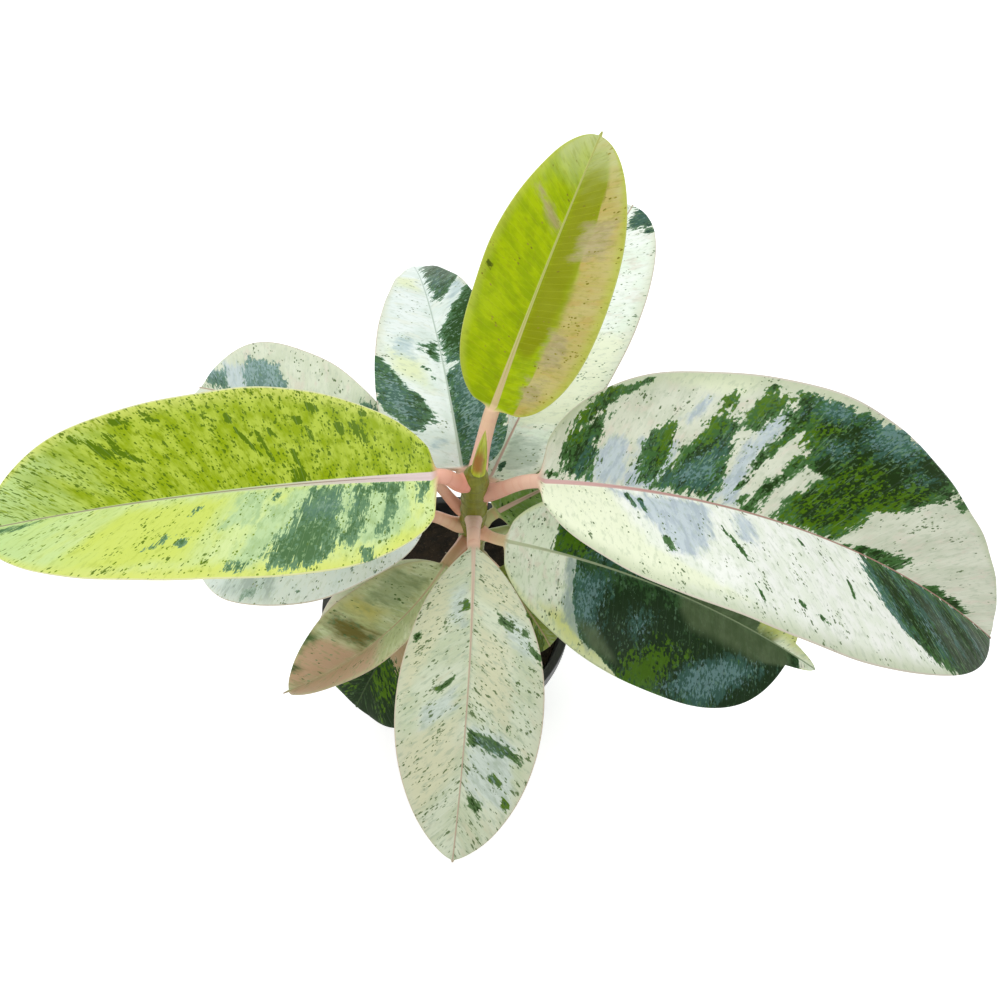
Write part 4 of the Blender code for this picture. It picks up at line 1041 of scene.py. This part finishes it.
def leaf_material(name, colours):
    """Marbled and flecked leaf: ground, green sectors, flecks, veins, midrib and stalk."""
    p = Paints(name + "_skin")
    tone = {key: paint(value) for key, value in colours.items()
            if isinstance(value, tuple) and len(value) == 3}
    place, (foot, _, _) = p.attribute("leaf_place")
    _, (dark, bright, blue) = p.attribute("leaf_green")
    _, (grey, warm, lime) = p.attribute("leaf_tone")
    _, (edge, t, stalk) = p.attribute("leaf_zone")
    _, (under, reach, k) = p.attribute("leaf_under")

    # Noise drawn out along the side veins, from slow clouds to fine grain
    slow = p.drawn_noise(place, (0.11, 0.06, 1.0), (0.0, 0.0, 0.0), 3.0, 0.55)
    cloud = p.drawn_noise(place, (0.22, 0.12, 1.0), (3.0, 11.0, 5.0), 3.0, 0.6)
    chunk = p.drawn_noise(place, (0.46, 0.15, 1.0), (7.0, 2.0, 9.0), 4.0, 0.6)
    veil = p.drawn_noise(place, (0.36, 0.13, 1.0), (21.0, 5.0, 3.0), 4.0, 0.65)
    grain = p.drawn_noise(place, (1.3, 0.60, 1.0), (2.0, 5.0, 8.0), 3.0, 0.6)
    streak = p.drawn_noise(place, (1.1, 0.10, 1.0), (9.0, 1.0, 4.0), 3.0, 0.6)
    _, pick, shade = p.cells(p.stretch(place, (1.25, 0.85, 1.0), (4.0, 6.0, 2.0)), 0.8)
    ragged = p.centred(chunk, colours["raggedness"])
    softly = p.times(ragged, 0.6)
    ragged = p.plus(ragged, p.centred(pick, colours["crumbling"]),
                    p.centred(streak, colours["fingers"]))
    ragged = p.math("SUBTRACT", ragged, p.ramp(streak, 0.60, 0.68, colours["cracks"]))

    # The ground, its lime part, and its soft warm and grey patches
    colour = p.mix(p.ramp(slow, 0.38, 0.62), tone["ground"], tone["ground_light"])
    colour = p.mix(p.ramp(cloud, 0.50, 0.68, 0.55), colour, tone["blush"])
    colour = p.mix(p.ramp(streak, 0.50, 0.70, 0.28), colour, tone["streak"])
    lime_tone = p.mix(p.ramp(cloud, 0.36, 0.64), tone["lime"], tone["lime_deep"])
    soft_lime = colours["lime_softness"]
    lime_share = p.ramp(p.plus(lime, p.times(softly, 0.6)), -0.4 - soft_lime, 0.8 + soft_lime)
    colour = p.mix(lime_share, colour, lime_tone)
    colour = p.mix(p.ramp(p.plus(warm, softly), -3.0, 4.0, 0.85), colour, tone["warm"])
    tip_share = p.ramp(p.plus(t, p.centred(slow, 0.3)), colours["tip_from"],
                       colours["tip_from"] + 0.25, 0.85)
    colour = p.mix(tip_share, colour, tone["tip"])
    grey_tone = p.mix(p.ramp(veil, 0.46, 0.60, 0.75), tone["grey"], tone["grey_deep"])
    greyed = p.plus(grey, softly, p.centred(veil, 10.0))
    colour = p.mix(p.ramp(greyed, -1.5, 2.5, 0.85), colour, grey_tone)
    colour = p.mix(p.ramp(edge, 0.80, 1.0, 0.75), colour, tone["margin"])

    # Faint smudges, then flecks in three sizes, crowded in some places and few in others
    crowd = p.drawn_noise(place, (0.16, 0.07, 1.0), (31.0, 7.0, 3.0), 2.0, 0.5)
    crowding = p.plus(p.centred(crowd, 1.5), p.times(lime_share, colours["lime_flecks"]))
    ghost = p.drawn_noise(place, (0.75, 0.30, 1.0), (13.0, 8.0, 2.0), 3.0, 0.6)
    haze = p.plus(p.times(lime_share, colours["lime_ghosts"]), colours["ghosts"])
    colour = p.mix(p.times(p.ramp(ghost, 0.50, 0.66), haze), colour, tone["ghost"])
    away, chosen, hue = p.cells(p.stretch(place, (1.25, 0.85, 1.0), (5.0, 9.0, 1.0)), 0.5)
    share = 1.06 - 0.16 * colours["fine_flecks"]
    dots = p.times(p.ramp(p.plus(away, p.centred(grain, 0.6)), 0.42, 0.30, 0.95),
                   p.ramp(p.plus(chosen, crowding), share, share + 0.05))
    away, chosen, _ = p.cells(p.stretch(place, (0.70, 0.42, 1.0), (8.0, 4.0, 6.0)), 0.9)
    share = 1.10 - 0.16 * colours["coarse_flecks"]
    flecks = p.times(p.ramp(p.plus(away, p.centred(grain, 0.9)), 0.36, 0.28, 0.9),
                     p.ramp(p.plus(chosen, crowding), share, share + 0.05))
    blots = p.drawn_noise(place, (0.62, 0.30, 1.0), (17.0, 3.0, 2.0), 4.0, 0.65)
    share = 0.70 - 0.05 * colours["coarse_flecks"]
    blots = p.ramp(p.plus(blots, p.times(crowding, 0.2)), share, share + 0.02, 0.9)
    fleck_tone = p.mix(p.ramp(hue, 0.3, 0.7), tone["fleck"], tone["fleck_light"])
    colour = p.mix(dots, colour, fleck_tone)
    colour = p.mix(p.math("MAXIMUM", flecks, blots), colour, tone["fleck"])
    colour = p.mix(p.ramp(edge, 0.980, 0.994, 0.8), colour, tone["edge"])

    # Green sectors: a thin pale rim, and inside it a mosaic of greens with teal and blue
    depth = p.plus(dark, ragged)
    mosaic = p.plus(p.centred(shade, 9.0), p.centred(grain, 15.0))
    mosaic = p.times(mosaic, colours["mosaic"])
    inner = p.plus(depth, p.centred(cloud, 24.0), mosaic)
    green = p.mix(p.ramp(inner, 0.5, 5.0), tone["mid"], tone["deep"])
    green = p.mix(p.ramp(depth, 1.4, 0.0, 0.8), green, tone["thin"])
    # Teal and blue follow the blue patches: partly the leaf's own bluish-grey layer, partly
    # painted sheen from the sky
    blue_and_sheen = p.times(blue, 0.6)
    teal = p.plus(blue_and_sheen, p.centred(veil, 18.0), p.times(mosaic, 0.5))
    green = p.mix(p.ramp(teal, 0.5, 4.0, colours["teal_share"]), green, tone["teal"])
    mottle = p.plus(blue_and_sheen, p.centred(veil, -14.0), p.centred(grain, 20.0))
    green = p.mix(p.ramp(mottle, 3.0, 6.0, colours["blue_share"]), green, tone["blue"])
    specks = p.plus(pick, p.centred(grain, 1.4))
    green = p.mix(p.ramp(specks, 0.92, 1.02, 0.5), green, tone["thin"])
    green = p.mix(p.ramp(streak, 0.60, 0.68, colours["threads"]), green, tone["thin"])
    lit = p.plus(bright, p.centred(shade, 10.0), p.centred(veil, 14.0))
    green = p.mix(p.ramp(lit, -0.5, 2.5, colours["bright_share"]), green, tone["bright"])
    green = p.mix(p.times(lime_share, colours["lime_over_green"]), green, lime_tone)

    # Side veins as lines, fine on the ground and on the green
    beat = p.math("DIVIDE", p.plus(foot, p.centred(slow, 2.0)), colours["line_pitch"])
    line = p.math("SUBTRACT", p.math("FRACT", beat), 0.5)
    line = p.ramp(p.math("ABSOLUTE", line), 0.44, 0.5)
    green = p.mix(p.times(line, colours["green_lines"]), green, tone["grey"])
    colour = p.mix(p.times(line, colours["ground_lines"]), colour, tone["line"])
    soft_edge = colours["softness"]
    colour = p.mix(p.ramp(depth, -0.10 - soft_edge, 0.30 + soft_edge), colour, green)

    # The midrib narrows fast from its base, and so does the vein at its middle
    taper = p.math("POWER", p.math("SUBTRACT", 1.0, t), 3.0)
    rib_half = p.times(p.plus(p.times(taper, 0.8), 0.2), colours["rib_width"])
    inside = p.math("SUBTRACT", rib_half, reach)
    rib_tone = p.mix(p.ramp(t, 0.05, 0.5), tone["rib_base"], tone["rib"])
    colour = p.mix(p.ramp(inside, -0.20, 0.15), colour, rib_tone)
    core = p.times(p.ramp(reach, 0.34, 0.12), p.ramp(t, 0.02, 0.2, 0.7))
    colour = p.mix(core, colour, tone["rib_core"])

    # The underside is paler, and the stalk has its own colours
    pale = p.mix(0.5, colour, tone["under"])
    colour = p.mix(under, colour, pale)
    stalk_tone = p.mix(p.ramp(k, 0.1, 1.0), tone["stalk"], tone["stalk_end"])
    stalk_tone = p.mix(p.ramp(chunk, 0.50, 0.66, 0.35), stalk_tone, tone["stalk_shade"])
    colour = p.mix(stalk, colour, stalk_tone)

    roughness = p.plus(p.times(cloud, 0.2), 0.26, p.times(under, 0.2))
    height = p.plus(p.times(grain, 0.5), p.times(line, -0.25))
    material = p.finish(colour, roughness, p.bump(height, 0.22, 0.0004))
    p.shader.inputs["Specular IOR Level"].default_value = LEAF_SPECULAR
    return material


def wall_radius(height):
    """The pot's outer radius below its rim band."""
    top = POT_RIM_RADIUS - RIM_STEP
    return POT_FOOT_RADIUS + (top - POT_FOOT_RADIUS) * height / POT_HEIGHT


def pot_profile():
    """The pot's section, from the middle of its underside round to the middle of its floor."""
    band_foot = POT_HEIGHT - RIM_BAND
    foot = POT_FOOT_RADIUS
    outside = [(AXIS_RADIUS, 0.0), (foot * 0.5, 0.0), (foot - 0.0030, 0.0),
               (foot - 0.0015, 0.0002), (foot - 0.0005, 0.0007), (wall_radius(0.0016), 0.0016)]
    outside += [(wall_radius(h), h)
                for h in np.linspace(0.004, band_foot - 0.0006, POT_OUTER_ROWS)]
    band = POT_RIM_RADIUS - RIM_DRAFT
    outside += [(wall_radius(band_foot) + 0.0003, band_foot - 0.0001), (band - 0.0005, band_foot),
                (band - 0.0001, band_foot + 0.0003), (band, band_foot + 0.0009)]
    rim = POT_RIM_RADIUS
    outside += [(rim - 0.0001, POT_HEIGHT - 0.0011), (rim, POT_HEIGHT - RIM_ROUND),
                (rim - 0.0002, POT_HEIGHT - 0.0001), (rim - 0.0006, POT_HEIGHT)]
    inner = wall_radius(POT_HEIGHT) - POT_WALL
    inside = [(inner + 0.0006, POT_HEIGHT), (inner + 0.0002, POT_HEIGHT - 0.0001),
              (inner, POT_HEIGHT - RIM_ROUND)]
    inside += [(wall_radius(h) - POT_WALL, h)
               for h in np.linspace(POT_HEIGHT - 0.003, POT_FLOOR, POT_INNER_ROWS)]
    inside += [(AXIS_RADIUS, POT_FLOOR)]
    return outside + inside


def make_pot():
    """A thin nursery pot with a rim band, rounded edges and drain slots round its foot."""
    mesh = tube_mesh("pot_shell", turned_points(pot_profile(), POT_SIDES))
    shape = bmesh.new()
    across, width, height = SLOT_SIZE
    for index in range(DRAIN_SLOTS):
        place = (Matrix.Rotation(math.tau * (index + 0.5) / DRAIN_SLOTS, 4, "Z")
                 @ Matrix.Translation((POT_FOOT_RADIUS, 0.0, 0.0))
                 @ Matrix.Diagonal((across, width, height, 1.0)))
        bmesh.ops.create_cube(shape, size=1.0, matrix=place)
    cutter_mesh = bpy.data.meshes.new("drain_slots")
    shape.to_mesh(cutter_mesh)
    shape.free()
    cutter = bpy.data.objects.new("drain_slots", cutter_mesh)
    bpy.context.scene.collection.objects.link(cutter)
    piece = add_piece("pot_shell", mesh, pot_material(), "pot")
    cut = piece.modifiers.new("slots", "BOOLEAN")
    cut.object = cutter
    bpy.context.view_layer.update()
    evaluated = piece.evaluated_get(bpy.context.evaluated_depsgraph_get())
    piece.data = bpy.data.meshes.new_from_object(evaluated)
    piece.modifiers.clear()
    bpy.data.objects.remove(cutter, do_unlink=True)


def pot_material():
    """Matte moulded plastic, dark grey, with a fine grain and dust by the rim."""
    p = Paints("pot_shell")
    place = p.add("TexCoord", {}).outputs["Object"]
    cloud = p.noise(place, 60.0, 4.0, 0.6)
    grain = p.noise(place, 2600.0, 2.0, 0.5)
    colour = p.mix(p.ramp(cloud, 0.35, 0.7), paint((44, 45, 47)), paint((58, 59, 60)))
    height = p.add("SeparateXYZ", {0: place}).outputs[2]
    dust = p.times(p.ramp(height, 0.060, 0.080), p.ramp(cloud, 0.5, 0.75, 0.35))
    colour = p.mix(dust, colour, paint((104, 92, 78)))
    roughness = p.plus(p.times(cloud, 0.2), 0.42)
    return p.finish(colour, roughness, p.bump(grain, 0.25, 0.0002))


def make_soil():
    """Potting mix: a crumbly mound inside the pot, solid to its floor."""
    rim = wall_radius(SOIL_TOP) - POT_WALL - FIT_GAP
    foot = wall_radius(POT_FLOOR) - POT_WALL - FIT_GAP
    bottom = POT_FLOOR + FIT_GAP
    share = np.linspace(1.0, 0.0, SOIL_RINGS)
    share[-1] = AXIS_SHARE
    profile = [(AXIS_RADIUS, bottom), (foot, bottom)]
    profile += [(foot + (rim - foot) * h, bottom + (SOIL_TOP - bottom) * h)
                for h in SOIL_WALL_ROWS]
    flat = len(profile)
    profile += [(rim * s, SOIL_TOP + SOIL_MOUND * (1.0 - s * s)) for s in share]
    points = turned_points(profile, SOIL_SIDES)
    random = np.random.default_rng(SOIL_SEED)
    x, y = points[flat:, :, 0] * MM, points[flat:, :, 1] * MM
    crumb = np.zeros_like(x)
    for size, rise in CRUMBS:
        for _ in range(CRUMB_WAVES):
            heading, start = random.uniform(0.0, math.tau, 2)
            ahead = (x * math.cos(heading) + y * math.sin(heading)) / size * CRUMB_PITCH
            bend = CRUMB_BEND * np.sin(y / size + 2.0 * start)
            crumb += rise / CRUMB_PITCH * np.sin(ahead + start + bend)
    fade = smooth((1.0 - share) / SOIL_FADE)[:, None]
    points[flat:, :, 2] += np.clip(crumb, *CRUMB_LIMITS) / MM * fade
    add_piece("soil_mix", tube_mesh("soil_mix", points), soil_material(), "soil")


def soil_material():
    """Dark peat with bark flecks and a few pale grains."""
    p = Paints("soil_mix")
    place = p.add("TexCoord", {}).outputs["Object"]
    cloud = p.noise(place, 160.0, 6.0, 0.65)
    grit = p.noise(place, 900.0, 3.0, 0.6)
    colour = p.mix(p.ramp(cloud, 0.35, 0.65), paint((26, 19, 14)), paint((52, 39, 28)))
    colour = p.mix(p.ramp(grit, 0.58, 0.72, 0.7), colour, paint((84, 66, 48)))
    pale = p.noise(p.stretch(place, (1.0, 1.0, 1.0), (4.0, 2.0, 1.0)), 420.0, 1.0, 0.4)
    colour = p.mix(p.ramp(pale, 0.78, 0.81), colour, paint((150, 142, 128)))
    return p.finish(colour, 0.95, p.bump(p.plus(cloud, grit), 0.7, 0.0012))


def make_stem():
    """The stem with its ring scars and pores."""
    shoulder = STEM_HEIGHT - SHOULDER
    heights = np.concatenate([np.linspace(-STEM_ROOT, shoulder, STEM_ROWS, endpoint=False),
                              np.linspace(shoulder, STEM_HEIGHT, SHOULDER_ROWS)])
    turn = around(STEM_COLUMNS)
    top = smooth((heights - shoulder) / SHOULDER)
    radius = stem_radius(heights)
    radius = radius + (STEM_TOP_RADIUS - radius) * top
    radius = radius[:, None] * np.ones_like(turn)
    rings = np.zeros_like(heights)
    for scar in scar_heights():
        away = np.abs(heights - scar) / SCAR_WIDTH
        ripple = 1.0 + SCAR_RIPPLE * np.sin(3.0 * turn + scar * SCAR_PHASE)
        radius += SCAR_SWELL * ripple * ((1.0 - smooth(away)) * (1.0 - top))[:, None]
        rings = np.maximum(rings, 1.0 - smooth(away / RING_TINT_WIDTH))
    random = np.random.default_rng(STEM_SEED)
    for _ in range(PORES):
        height, side = random.uniform(0.0, PORE_TOP), random.uniform(0.0, math.tau)
        up = (heights[:, None] - height) / PORE_HALF_HEIGHT
        across = np.angle(np.exp(1j * (turn - side))) * STEM_RADIUS / PORE_HALF_WIDTH
        radius += PORE_RISE * np.exp(-up ** 2 - across ** 2)
    points = round_points(radius, turn, heights)
    mesh = tube_mesh("stem_bark", in_plant(points))
    set_attribute(mesh, "stem_place", points[..., [2, 0, 1]] * MM)
    set_attribute(mesh, "stem_rings", rings[:, None, None] * np.ones_like(points))
    add_piece("stem_bark", mesh, stem_material(), "stem")


def stem_material():
    """Olive-green bark that turns brown low down, with pale pores and brown ring scars."""
    p = Paints("stem_bark")
    place, (height, _, _) = p.attribute("stem_place")
    _, (rings, _, _) = p.attribute("stem_rings")
    streak = p.noise(p.stretch(place, (0.10, 1.1, 1.1)), 1.0, 4.0, 0.6)
    blotch = p.noise(p.stretch(place, (0.5, 0.6, 0.6)), 1.0, 3.0, 0.6)
    pores = p.noise(p.stretch(place, (1.5, 2.6, 2.6)), 1.0, 1.0, 0.5)
    green = p.mix(p.ramp(streak, 0.36, 0.64), paint((112, 114, 22)), paint((126, 128, 34)))
    brown = p.mix(p.ramp(streak, 0.36, 0.64), paint((104, 88, 60)), paint((142, 124, 90)))
    low = p.ramp(p.plus(height, p.times(blotch, -40.0)), 40.0, 4.0)
    colour = p.mix(low, green, brown)
    colour = p.mix(p.ramp(blotch, 0.58, 0.72, 0.25), colour, paint((150, 116, 60)))
    colour = p.mix(p.ramp(pores, 0.70, 0.76, 0.4), colour, paint((176, 168, 110)))
    colour = p.mix(p.times(rings, 0.28), colour, paint((84, 78, 24)))
    return p.finish(colour, 0.42, p.bump(p.plus(streak, pores), 0.15, 0.0003))


def make_sheath():
    """The slender sheath round the next leaf, with its seam winding down one side."""
    along = np.linspace(1.0, 0.0, SHEATH_ROWS)[:, None]
    along[-1] = AXIS_SHARE
    turn = around(SHEATH_COLUMNS)
    away = np.angle(np.exp(1j * (turn - SEAM_START - SEAM_WINDING * (1.0 - along))))
    lap = np.where(away > 0.0, np.exp(-away / LAP_REACH), 0.0)
    lap = lap - SEAM_DEPTH * np.exp(-(away / SEAM_WIDTH) ** 2)
    ripple = np.sin(turn * SHEATH_RIPPLES + along * SHEATH_RIPPLE_TWIST)
    radius = SHEATH_RADIUS * (along ** SHEATH_TAPER + np.sin(math.pi * along) * SHEATH_BELLY)
    radius = radius + (LAP_RISE * lap + SHEATH_RIPPLE * ripple) * np.sqrt(along)
    points = round_points(radius, turn, SHEATH_LENGTH * (1.0 - along[:, 0]))
    matrix = np.array(Euler(SHEATH_LEAN).to_matrix())
    placed = points @ matrix.T + [SHEATH_OFFSET, 0.0, STEM_HEIGHT + FIT_GAP]
    mesh = tube_mesh("sheath_skin", in_plant(placed))
    set_attribute(mesh, "sheath_place", points * MM)
    groove = np.exp(-(away / SEAM_TINT_WIDTH) ** 2)
    zone = [groove, np.cos(turn + FLUSH_SIDE) * np.ones_like(groove),
            (1.0 - along) * np.ones_like(groove)]
    set_attribute(mesh, "sheath_zone", np.stack(zone, axis=-1))
    add_piece("sheath_skin", mesh, sheath_material(), "bud_sheath")


def sheath_material():
    """Yellow-green sheath with a red-brown flush low on its front."""
    p = Paints("sheath_skin")
    place, _ = p.attribute("sheath_place")
    _, (groove, flush, height) = p.attribute("sheath_zone")
    streak = p.noise(p.stretch(place, (1.4, 1.4, 0.16)), 1.0, 3.0, 0.6)
    blotch = p.noise(p.stretch(place, (0.35, 0.35, 0.20)), 1.0, 3.0, 0.6)
    colour = p.mix(p.ramp(streak, 0.35, 0.65), paint((160, 178, 30)), paint((192, 206, 62)))
    colour = p.mix(p.ramp(height, 0.5, 1.0, 0.6), colour, paint((206, 200, 96)))
    band = p.times(p.ramp(height, 0.0, 0.2), p.ramp(height, 0.75, 0.4))
    red = p.times(band, p.ramp(p.plus(flush, blotch), 0.9, 1.4, 0.85))
    colour = p.mix(red, colour, paint((156, 84, 40)))
    colour = p.mix(p.times(groove, 0.5), colour, paint((128, 120, 40)))
    return p.finish(colour, 0.4, p.bump(streak, 0.2, 0.0002))


def make_floor():
    """A plain pale floor."""
    mesh = bpy.data.meshes.new("floor")
    corners = [(-FLOOR_HALF, -FLOOR_HALF), (FLOOR_HALF, -FLOOR_HALF),
               (FLOOR_HALF, FLOOR_HALF), (-FLOOR_HALF, FLOOR_HALF)]
    mesh.from_pydata([(x, y, -FLOOR_DROP) for x, y in corners], [], [(0, 1, 2, 3)])
    p = Paints("floor")
    mesh.materials.append(p.finish((0.94, 0.94, 0.94, 1.0), 0.9))
    p.shader.inputs["Specular IOR Level"].default_value = 0.1
    p.shader.inputs["Emission Color"].default_value = (1.0, 1.0, 1.0, 1.0)
    p.shader.inputs["Emission Strength"].default_value = FLOOR_GLOW
    floor = bpy.data.objects.new("floor", mesh)
    bpy.context.scene.collection.objects.link(floor)


def aim(thing, place, target):
    """Place a camera or light and point it at a target."""
    thing.location = place
    thing.rotation_euler = (target - Vector(place)).to_track_quat("-Z", "Y").to_euler()


def make_lights():
    """White sky and large soft lamps, the strongest behind and above the plant."""
    world = bpy.data.worlds.new("sky")
    world.use_nodes = True
    background = world.node_tree.nodes["Background"]
    background.inputs["Color"].default_value = (1.0, 1.0, 1.0, 1.0)
    background.inputs["Strength"].default_value = SKY_STRENGTH
    bpy.context.scene.world = world
    for name, place, width, height, power, colour in LIGHTS:
        lamp = bpy.data.lights.new(name, "AREA")
        lamp.shape = "RECTANGLE"
        lamp.size = width
        lamp.size_y = height
        lamp.energy = power
        lamp.color = colour
        light = bpy.data.objects.new(name, lamp)
        bpy.context.scene.collection.objects.link(light)
        aim(light, place, LIGHT_TARGET)


def make_camera():
    """The photograph's viewing angle: high above the plant's front."""
    lens = bpy.data.cameras.new("camera")
    lens.lens = CAMERA_LENS
    lens.sensor_width = CAMERA_SENSOR
    lens.clip_start = 0.01
    camera = bpy.data.objects.new("camera", lens)
    bpy.context.scene.collection.objects.link(camera)
    aim(camera, CAMERA_PLACE, CAMERA_TARGET)
    bpy.context.scene.camera = camera
    bpy.context.scene.view_settings.view_transform = "Standard"


def main():
    """Dress the frame."""
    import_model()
    make_camera()
    make_lights()
    make_floor()
    make_pot()
    make_soil()
    make_stem()
    make_sheath()
    for name, values in LEAVES.items():
        make_leaf(name, values)
    bpy.context.view_layer.update()


main()
